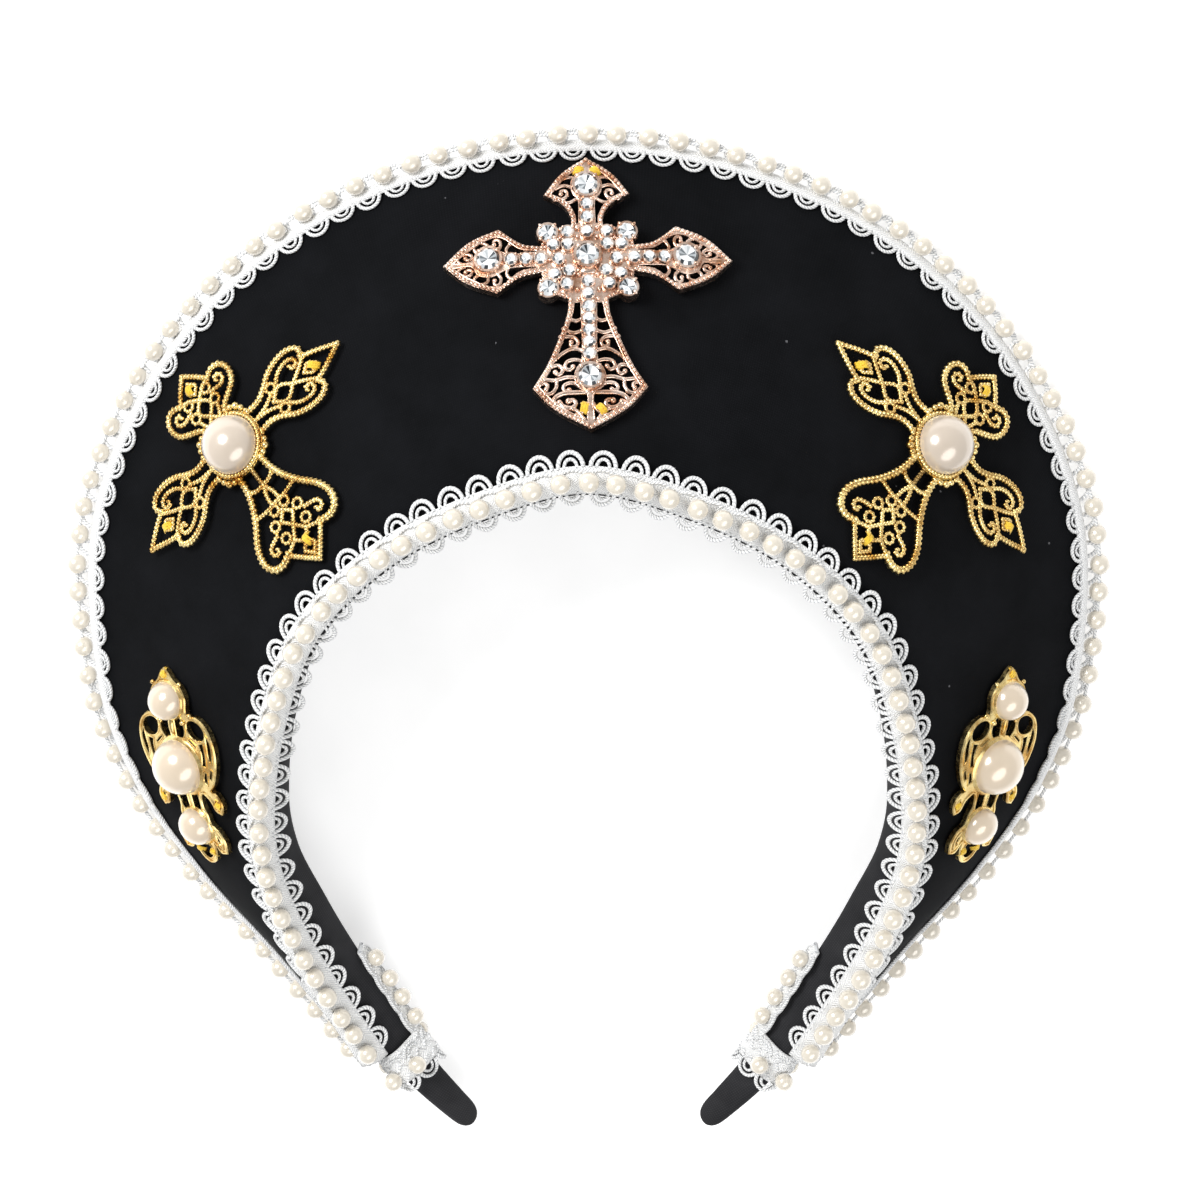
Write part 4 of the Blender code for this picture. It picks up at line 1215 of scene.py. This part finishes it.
CROSS_SMALL_STONES = (
    # right, up, and how many sides it is on
    (0.0, 11.7, 1), (0.0, 8.6, 1), (0.0, 5.2, 1), (16.4, -0.5, 2), (13.2, -0.6, 2), (10.0, -0.8, 2),
    (4.2, 5.2, 2), (7.3, 2.3, 2), (4.2, 2.3, 2), (6.2, -1.0, 2), (3.9, -3.8, 2), (7.1, -4.6, 2),
    (4.5, -6.9, 2), (0.0, -6.4, 1), (0.0, -9.2, 1), (0.0, -12.2, 1), (0.0, -14.9, 1), (0.0, -17.6, 1),
    (0.0, -20.2, 1), (0.0, -22.9, 1),
)
CROSS_BEADS = (
    # radius, and a place to the right and up, the same on the left
    (0.65, 2.15, 6.3), (0.6, 2.1, 4.2), (0.5, 5.75, 6.0), (0.55, 5.8, 3.9), (0.55, 9.0, 2.0),
    (0.5, 8.1, -1.0), (0.6, 2.0, -4.6), (0.55, 5.5, -3.1), (0.5, 5.6, -5.9), (0.55, 8.9, -3.4),
    (0.6, 2.3, -8.0), (0.55, 2.0, -10.2),
)
CROSS_LARGE_STONES = (
    # node, right, up, radius, height
    ("cross_stone_centre", 0.0, -0.6, 2.75, 3.9),
    ("cross_stone_top", 0.0, 16.4, 2.75, 2.8),
    ("cross_stone_left", -21.3, 0.0, 2.75, 2.8),
    ("cross_stone_right", 21.3, 0.0, 2.75, 2.8),
    ("cross_stone_bottom", 0.0, -27.8, 2.75, 2.8),
    ("corner_stone_top_left", -8.5, 5.1, 2.1, 3.2),
    ("corner_stone_top_right", 8.5, 5.1, 2.1, 3.2),
    ("corner_stone_low_left", -8.5, -7.8, 2.1, 3.2),
    ("corner_stone_low_right", 8.5, -7.8, 2.1, 3.2),
)
CROSS_STITCHES = (
    # right, up, turn
    (-1.5, 20.0, 0.3), (1.9, 19.9, 2.6), (-1.3, -34.6, 1.6), (2.2, -35.0, 2.5),
)


def central_cross(wall):
    seat = Seat(wall, CROSS_SEAT)
    edge = smooth_line(whole(CROSS_EDGE), closed=True, step=0.8, corner=40)
    holes = []
    scrolls = []
    for side in (1, -1):
        for openings, lines, rise, middle in (
            (CROSS_OPENINGS, CROSS_SCROLLS, 1, 0.0),
            (CROSS_ARM_OPENINGS, CROSS_ARM_SCROLLS, 1, CROSS_ARM_V),
            (CROSS_ARM_OPENINGS, CROSS_ARM_SCROLLS, -1, CROSS_ARM_V),
        ):
            for hole in openings:
                knots = flipped(hole, side, rise, middle)
                holes.append(smooth_line(knots, closed=True, step=0.8, corner=70))
            for radius, line in lines:
                knots = flipped(line, side, rise, middle)
                scrolls.append((radius, smooth_line(knots, step=0.5, corner=100)))
    copies = [pierced_plate(edge, holes, low=0.0, high=2.2)]
    for u, v in CROSS_CORNERS:
        copies += [set_at(CUP, side * u, v, 1.6, (2.0, 2.0, 4.0)) for side in (1, -1)]
    jewel_piece("cross_plate", seat, copies, ROSE, 40, "cross_frame")

    beads = paced(inset_line(edge, depth=0.45), pitch=1.02, closed=True)
    fine = [set_at(BEAD, *place, 2.3, 0.5) for place, _ in beads]
    fine += [wire(hole, radius=0.22, height=2.1, closed=True) for hole in holes]
    for radius, line in scrolls:
        fine.append(wire(line, radius, height=1.7))
        fine += [set_at(BEAD, *end, 1.75, radius * 1.3) for end in (line[0], line[-1])]
    jewel_piece("cross_milgrain", seat, fine, ROSE, 80)

    small = []
    collars = []
    for right, v, sides in CROSS_SMALL_STONES:
        for u in (right, -right)[:sides]:
            small.append(set_at(SMALL_STONE, u, v, 3.3, (1.42, 1.42, 1.7), chance.uniform(0, 3)))
            collars.append(set_at(CUP, u, v, 2.8, (1.32, 1.32, 1.5)))
            collars += [set_at(BEAD, x, y, 3.5, 0.34) for x, y, _ in four_round(u, v, 1.4)]
    for node, u, v, radius, height in CROSS_LARGE_STONES:
        cut = set_at(STONE, u, v, height, radius * 1.04, chance.uniform(0, 3))
        jewel_piece(node + "_cut", seat, [cut], CRYSTAL, 5, node)
        collars.append(set_at(CUP, u, v, height - 0.5, (radius * 0.96, radius * 0.96, radius)))
        for x, y, angle in four_round(u, v, radius * 0.98):
            collars.append(set_at(BEAD, x, y, height + 0.45, (0.7, 0.42, 0.5), angle))
    jewel_piece("cross_small_stones", seat, small, CRYSTAL, 5)
    collars.append(set_at(BEAD, 0.0, -3.9, 2.7, (2.2, 1.0, 0.7)))
    for radius, u, v in CROSS_BEADS:
        collars += [set_at(BEAD, side * u, v, 2.5, radius) for side in (1, -1)]
    jewel_piece("cross_settings", seat, collars, ROSE, 60, "cross_pave")
    sew_on("cross_tacks", seat, CROSS_STITCHES, height=2.2, size=0.9)


# The side crosses: each is one openwork of twisted wire

SIDE_TOP_WIRES = (
    # radius, and places to the right and up
    (0.86, [(3.2, 6.2), (3.9, 8.2), (6.4, 9.8), (8.9, 11.6), (9.7, 14.6), (8.5, 16.9), (6.4, 17.3),
            (4.6, 16.4)]),
    (0.64, [(3.4, 13.2), (4.6, 13.1), (6.2, 12.8), (7.6, 13.8), (7.2, 15.2), (6.0, 15.2), (5.9, 14.3)]),
    (0.74, [(4.4, 16.6), (2.4, 19.0), (0.0, 21.4)]),
    (0.60, [(0.0, 9.0), (1.9, 11.5), (0.0, 14.0)]),
    (0.60, [(0.0, 14.0), (1.8, 15.4), (4.2, 16.4)]),
    (0.60, [(0.0, 15.9), (1.5, 17.4), (0.0, 19.0)]),
    (0.60, [(1.4, 6.6), (2.5, 8.6), (3.0, 10.2)]),
    (0.60, [(0.0, 9.0), (1.2, 7.6), (1.8, 6.6)]),
)
SIDE_ARM_WIRES = (
    # radius, and places along the arm and across it
    (0.86, [(7.4, 2.9), (10.5, 2.9), (13.0, 4.0), (16.0, 6.1), (19.6, 7.2), (22.8, 7.0), (24.6, 5.4),
            (24.0, 3.7)]),
    (0.64, [(16.2, 2.9), (17.6, 4.3), (20.4, 5.2), (22.4, 4.5), (22.4, 3.0), (21.0, 2.7), (20.8, 3.7)]),
    (0.74, [(23.9, 3.6), (27.2, 2.3), (31.9, 0.0)]),
    (0.60, [(7.6, 0.0), (11.2, 0.6), (13.6, 1.7)]),
    (0.60, [(13.4, 0.0), (16.2, 2.0), (19.2, 0.0)]),
    (0.60, [(19.2, 0.0), (21.6, 1.4), (24.2, 3.2)]),
    (0.60, [(22.6, 0.0), (24.2, 1.4), (25.8, 0.0)]),
)
SIDE_BOTTOM_WIRES = (
    # radius, and places to the right and up
    (1.02, [(3.6, -7.0), (3.8, -10.0), (4.9, -13.6), (7.0, -17.4), (10.2, -21.8), (11.2, -25.4),
            (10.0, -28.2), (7.6, -29.0), (5.2, -28.2)]),
    (0.64, [(4.6, -23.2), (6.2, -23.6), (7.9, -24.4), (7.9, -26.0), (6.6, -26.4), (6.5, -25.4)]),
    (0.74, [(5.4, -28.4), (2.6, -31.6), (0.0, -34.4)]),
    (0.64, [(0.0, -7.4), (0.0, -12.2)]),
    (0.64, [(0.0, -12.2), (1.9, -12.2), (3.8, -11.2)]),
    (0.64, [(0.0, -12.4), (1.0, -15.0), (1.2, -17.2)]),
    (0.60, [(0.0, -17.3), (2.8, -17.4), (5.9, -16.9)]),
    (0.60, [(0.0, -19.8), (1.9, -21.8), (0.0, -24.2)]),
    (0.60, [(0.0, -24.2), (2.0, -27.0), (0.0, -29.2)]),
    (0.60, [(0.0, -29.2), (1.7, -30.6), (0.0, -32.6)]),
    (0.60, [(2.0, -27.0), (4.4, -28.0)]),
)
UPRIGHT = ((1, 1), (-1, 1))
SIDEWAYS = ((1, 1), (1, -1), (-1, 1), (-1, -1))
SIDE_PARTS = (
    # the sides a part is on, its wires, and the middles of its rings
    (UPRIGHT, SIDE_TOP_WIRES, ((3.2, 11.4), (2.9, 15.0))),
    (UPRIGHT, SIDE_BOTTOM_WIRES, ((1.6, -18.6), (3.7, -21.4), (3.3, -25.2))),
    (SIDEWAYS, SIDE_ARM_WIRES, ((14.6, 3.0),)),
)
SIDE_BEADS = (
    # step from the diagonal, size
    (-2, 0.62), (-1, 0.78), (0, 0.95), (1, 0.78), (2, 0.62),
)
SIDE_STITCHES = (
    # right, up, turn
    (0.2, 17.4, 2.3), (25.0, 0.0, 0.5), (-25.0, 0.0, 1.1), (-0.6, -29.0, 1.9),
)
SIDE_WIRE_RISE = 0.85


def side_cross(wall, side):
    seat = Seat(wall, SIDE_CROSS_SEAT, side == "left")
    copies = []
    for places, wires, rings in SIDE_PARTS:
        for flip, rise in places:
            for radius, knots in wires:
                line = smooth_line(flipped(knots, flip, rise), step=0.6, corner=75)
                copies += roped(line, radius, SIDE_WIRE_RISE)
            for u, v in flipped(rings, flip, rise):
                copies += roped(ring_line(u, v, radius=1.15), 0.5, SIDE_WIRE_RISE, closed=True)
    copies += roped(ring_line(0, 0, radius=6.9, count=40), radius=0.7, height=1.3, closed=True)
    for _, _, diagonal in four_round(0, 0, 1):
        for step, size in SIDE_BEADS:
            angle = diagonal + step * 0.17
            reach = 8.6 - 0.25 * abs(step)
            copies.append(set_at(BEAD, reach * math.cos(angle), reach * math.sin(angle), 1.2, size))
    copies.append(pierced_plate(ring_line(0, 0, radius=7.6, count=32), [], low=0.1, high=1.1))
    jewel_piece(f"side_cross_{side}_wires", seat, copies, YELLOW, 75, f"side_cross_{side}")
    pearl = f"side_pearl_{side}"
    jewel_piece(pearl + "_dome", seat, [set_at(DOME, 0, 0, 1.9, 6.5)], JEWEL_PEARL, 60, pearl)
    sew_on(f"side_cross_{side}_tacks", seat, SIDE_STITCHES, height=1.2, size=1.0)


# The brooches

BROOCH_EDGE = [
    (0.0, 21.0), (1.2, 19.9), (2.2, 18.4), (4.4, 16.6), (5.4, 14.0), (5.0, 11.4), (5.4, 10.2),
    (8.0, 10.0), (10.8, 7.6), (12.1, 3.2), (11.6, -1.4), (9.8, -5.4), (8.2, -7.2), (9.8, -8.2),
    (10.8, -10.6), (9.9, -12.9), (8.2, -12.2), (7.2, -9.8), (5.4, -8.2), (4.4, -8.8), (3.9, -11.6),
    (4.6, -13.6), (4.8, -16.0), (6.6, -17.4), (7.8, -20.2), (7.2, -23.2), (5.2, -23.2), (3.8, -20.6),
    (3.4, -23.0), (2.0, -25.6), (0.0, -26.6),
]
BROOCH_HOLES = (
    # places to the right and up, the same on the left. One that starts at 0 is one hole's right half.
    [(4.7, 8.6), (7.2, 9.4), (9.8, 7.6), (9.6, 5.2), (7.0, 4.6), (5.0, 5.9)],
    [(0.8, 10.2), (2.9, 9.8), (3.9, 6.8), (2.6, 4.6), (0.8, 4.4)],
    [(4.2, 5.1), (5.4, 4.4), (6.5, 3.4), (6.1, 2.9), (5.0, 3.7), (3.9, 4.6)],
    [(10.0, 6.4), (11.2, 4.6), (11.2, 2.0), (10.6, -0.8), (9.8, 0.8), (9.9, 3.4)],
    [(7.3, 4.0), (9.0, 4.2), (9.0, 1.4), (8.6, -1.6), (7.2, -1.4), (7.8, 1.4)],
    [(9.6, -1.8), (10.3, -2.2), (9.4, -4.8), (8.5, -4.2)],
    [(7.6, -2.6), (8.4, -2.9), (7.8, -6.0), (6.7, -5.0)],
    [(0.6, -7.4), (3.4, -7.9), (3.0, -12.6), (0.6, -13.0)],
    [(8.9, -9.2), (9.9, -10.4), (9.3, -11.8), (8.4, -10.6)],
    [(5.0, -18.4), (6.2, -19.4), (6.6, -21.6), (5.4, -20.6)],
    [(0.0, -21.2), (1.9, -21.8), (1.8, -24.2), (0.0, -25.4)],
    [(4.1, 16.2), (4.9, 14.2), (4.6, 12.0), (3.9, 12.2), (4.1, 14.0)],
)
BROOCH_CURL = ((5.2, -17.6), (6.6, -19.6), (6.3, -22.0), (5.2, -21.0), (5.8, -20.0))
BROOCH_BEADS = (
    # right, up, height, size
    (3.6, 8.6, 1.3, (0.7, 0.7, 0.7)),
    (6.0, 10.2, 1.1, (0.75, 0.75, 0.7)),
    (4.2, 17.4, 1.1, (0.6, 0.6, 0.6)),
)
BROOCH_PEARLS = (
    # where, up, radius
    ("top", 13.6, 4.35), ("middle", -2.0, 6.5), ("low", -16.9, 4.45),
)
BROOCH_STITCHES = (
    # right, up, turn
    (0.0, 19.6, 1.4), (9.4, -10.8, 0.8), (-9.4, -10.8, 2.3), (-2.2, -23.4, 1.9), (2.4, -22.8, 1.0),
)


def brooch(wall, side):
    seat = Seat(wall, BROOCH_SEAT, side == "left")
    edge = smooth_line(whole(BROOCH_EDGE), closed=True, corner=70)
    holes = []
    for hole in BROOCH_HOLES:
        shapes = [whole(hole)] if hole[0][0] == 0.0 else [flipped(hole, 1), flipped(hole, -1)]
        holes += [smooth_line(shape, closed=True, step=0.6, corner=80) for shape in shapes]
    copies = [pierced_plate(edge, holes, low=0.0, high=1.3)]
    copies.append(wire(inset_line(edge, depth=0.3), radius=0.38, height=1.2, closed=True))
    copies += [wire(hole, radius=0.2, height=1.3, closed=True, sides=5) for hole in holes]
    copies.append(set_at(BEAD, 0.0, 7.8, 1.3, (0.8, 2.6, 0.9)))
    for flip in (1, -1):
        copies += [set_at(BEAD, flip * u, v, w, size) for u, v, w, size in BROOCH_BEADS]
        copies.append(wire(smooth_line(flipped(BROOCH_CURL, flip)), radius=0.34, height=1.35))
    for _, v, radius in BROOCH_PEARLS:
        copies.append(set_at(CUP, 0, v, 1.2, (radius * 0.9, radius * 0.9, 1.6)))
    jewel_piece(f"brooch_{side}_casting", seat, copies, YELLOW, 50, f"brooch_{side}")
    for where, v, radius in BROOCH_PEARLS:
        name = f"brooch_pearl_{where}_{side}"
        jewel_piece(name + "_dome", seat, [set_at(DOME, 0, v, 1.7, radius)], BROOCH_PEARL, 60, name)
    sew_on(f"brooch_{side}_tacks", seat, BROOCH_STITCHES, height=1.2, size=0.8)


# The lace wound round each arm's end, and its tail

WRAP_TURNS = 2.2
WRAP_START = 0.9
WRAP_STEPS = 120
WRAP_SECTION = ((-2.4, -0.5), (2.4, -0.5), (2.8, -0.1), (2.4, 0.4), (0, 0.6), (-2.4, 0.4), (-2.8, -0.1))
TAIL_SECTION = ((-1.9, 0.0), (1.8, 0.0), (2.1, 0.4), (1.7, 0.9), (0, 1.1), (-1.8, 0.9), (-2.2, 0.4))
WRAP_LOOPS = (
    # side, front, reach, flip
    (-2.6, 0.1, 0.6, 1), (2.6, 0.1, 0.8, -1),
)
TAIL_LOOPS = (
    # side, front, reach, flip
    (-2.0, 0.5, 0.4, 1), (1.7, 0.6, 0.3, -1),
)


def lace_end(sign):
    """The band's section where the lace ends."""
    return len(BAND_MIDDLES) - 1 - len(BAND_END) if sign > 0 else len(BAND_END)


def gap_to_next(here, sign):
    return (BAND_MIDDLES[here + sign][0] - BAND_MIDDLES[here][0]).length


def band_place(run, sign):
    """The band's section at a distance past the lace's end."""
    here = lace_end(sign)
    while run > gap_to_next(here, sign):
        run -= gap_to_next(here, sign)
        here += sign
    share = run / gap_to_next(here, sign)
    a, b = band_at(BAND_MIDDLES, here), band_at(BAND_MIDDLES, here + sign)
    return [x + (y - x) * share for x, y in zip(a, b)]


def end_braid(name, track, tape, edges, pitch, wander, first, gimps, node):
    """The braid and loops of a short length of lace. A gimp is its side, front, radius, wave and
    pitch."""
    outward(assemble(f"{name}_braid", [tape], BRAID, node))
    cords = []
    for side, front, reach, flip in edges:
        edge = track.shifted(side, front)
        runs = [run for run in spaced(edge, pitch, 1.0, wander) if run > first]
        cords += lay_loops(edge, runs, reach, 0.0, flip)
    cords += [lay_thread(track, *gimp, phase=gimp[0]) for gimp in gimps]
    outward(assemble(f"{name}_loops", cords, CORD))


def wrapped_end(side, sign):
    """Just over two turns of the lace, wound round the band, with its pearls outside."""
    rows = []
    for step in range(WRAP_STEPS + 1):
        t = step / WRAP_STEPS
        run = 2.0 + 5.2 * t
        middle, width, thickness, back, out = band_place(run, sign)
        ahead = (band_place(run + 0.5, sign)[0] - middle).normalized()
        angle = math.tau * WRAP_TURNS * t - WRAP_START
        c, s = math.cos(angle), math.sin(angle)
        rise = 0.9 + 1.0 * t
        reach = fuller(c, 0.7) * (width / 2 + rise)
        deep = fuller(s, 0.7) * (thickness / 2 + rise)
        front = (back * c / width + out * s / thickness).normalized()
        rows.append((middle + back * reach + out * deep, ahead, front))
    track = Track(*zip(*rows))
    tape = lay_tape(track, WRAP_SECTION, 0.9)
    gimps = [(shift, 0.5, 0.36, 0.7, 2.7) for shift in (-1.5, 1.5)]
    end_braid(f"wrap_{side}", track, tape, WRAP_LOOPS, 5.9, 0.4, 0.0, gimps, f"wrap_lace_{side}")
    # Only the outer turn's pearls show: on the inner side, behind, on the outer side and in front.
    runs = []
    for degrees in (20, 110, 190, 255):
        t = (math.radians(degrees) + WRAP_START + math.tau) / (math.tau * WRAP_TURNS)
        runs.append(float(np.interp(t * WRAP_STEPS, range(WRAP_STEPS + 1), track.runs)))
    outward(assemble(f"wrap_{side}_pearls", lay_pearls(track, runs, 2.1, 0.0, 2.5), LACE_PEARL))


def tail_end(side, sign):
    """The end of the lace, laid back up the inside of the arm."""
    places = [band_place(2.4, sign)]
    places += [band_at(BAND_MIDDLES, lace_end(sign) - sign * step) for step in range(11)]
    rows = []
    for middle, width, thickness, back, out in places:
        front = (back - out * 1.3).normalized()
        place = middle + back * (width / 2 - 0.7) - out * (thickness / 2 - 0.2) + front * 0.3
        rows.append((place, -(back * 1.3 + out).normalized(), front))
    track = Track(*zip(*rows))
    tape = lay_tape(track, TAIL_SECTION, 1.0)
    gimps = [(shift, 0.85, 0.4, 0.55, 2.4) for shift in (-1.5, 1.3)]
    all_along = -track.length
    end_braid(f"tail_{side}", track, tape, TAIL_LOOPS, 6.0, 0.3, all_along, gimps, f"tail_lace_{side}")
    pearls = lay_pearls(track, spaced(track, 6.0, 1.0, 0.4), 2.05, 0.0, 2.6)
    outward(assemble(f"tail_{side}_string", pearls, LACE_PEARL, f"tail_pearls_{side}"))


# Camera, table and light


def add_stage():
    plane = bpy.ops.mesh.primitive_grid_add
    table = added(plane, x_subdivisions=12, y_subdivisions=12, size=6, location=(0, 0, -0.0002))
    table.name = "table"
    material, tree, coords = new_material("white_paper_table")
    grain = add_node(tree, "TexNoise", {"Scale": 40.0, "Detail": 4.0, "Vector": coords["Object"]})
    tint = add_node(tree, "ValToRGB", {"colours": [(0.3, "#E4E4E4"), (0.7, "#EAEAEA")], "Fac": grain[0]})
    glow = {"Emission Color": tint[0], "Emission Strength": 0.6}
    matt = {"Roughness": 0.9, "Specular IOR Level": 0.1, "Base Color": tint[0]}
    add_node(tree, "Principled BSDF", {**matt, **glow})
    table.data.materials.append(material)


def add_light(name, place, width, length, power):
    lamp = bpy.data.lights.new(name, "AREA")
    lamp.shape = "ELLIPSE"
    lamp.size = width
    lamp.size_y = length
    lamp.energy = power
    item = bpy.data.objects.new(name, lamp)
    bpy.context.scene.collection.objects.link(item)
    item.location = place
    item.rotation_euler = (Vector((0, 0, 0.02)) - Vector(place)).to_track_quat("-Z", "Y").to_euler()


def add_studio():
    bpy.context.scene.view_settings.view_transform = "Standard"
    world = bpy.data.worlds.new("studio")
    bpy.context.scene.world = world
    world.use_nodes = True
    tree = world.node_tree
    coords = add_node(tree, "TexCoord", {})
    height = add_node(tree, "SeparateXYZ", {"Vector": coords["Generated"]})
    greys = [(0.0, "#FFFFFF"), (0.55, "#E2E2E2"), (1.0, "#989898")]
    shade = add_node(tree, "ValToRGB", {"colours": greys, "Fac": height["Z"]})
    add_node(tree, "Background", {"Color": shade[0], "Strength": 0.75})
    add_light("key", (-0.58, 0.6, 0.68), 0.48, 0.48, 9.2)
    add_light("fill", (0.32, -0.34, 0.95), 1.2, 0.7, 5.4)


def add_camera():
    tilt = math.radians(18)
    aim = Vector((2.64, 14.0, 20.0)) * MM
    lens = bpy.data.cameras.new("camera")
    lens.sensor_width = 36
    lens.lens = 122.7
    lens.clip_start = 0.01
    item = bpy.data.objects.new("camera", lens)
    bpy.context.scene.collection.objects.link(item)
    item.location = aim + Vector((0, math.sin(tilt), math.cos(tilt))) * 0.9
    item.rotation_euler = (-tilt, 0, 0)
    bpy.context.scene.camera = item


add_stage()
add_studio()
add_camera()
crescent()
headband()
inner_lace()
outer_lace()
wall_surface = surface_of(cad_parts["halo_panel"])
central_cross(wall_surface)
for side, sign in (("left", -1), ("right", 1)):
    side_cross(wall_surface, side)
    brooch(wall_surface, side)
    wrapped_end(side, sign)
    tail_end(side, sign)
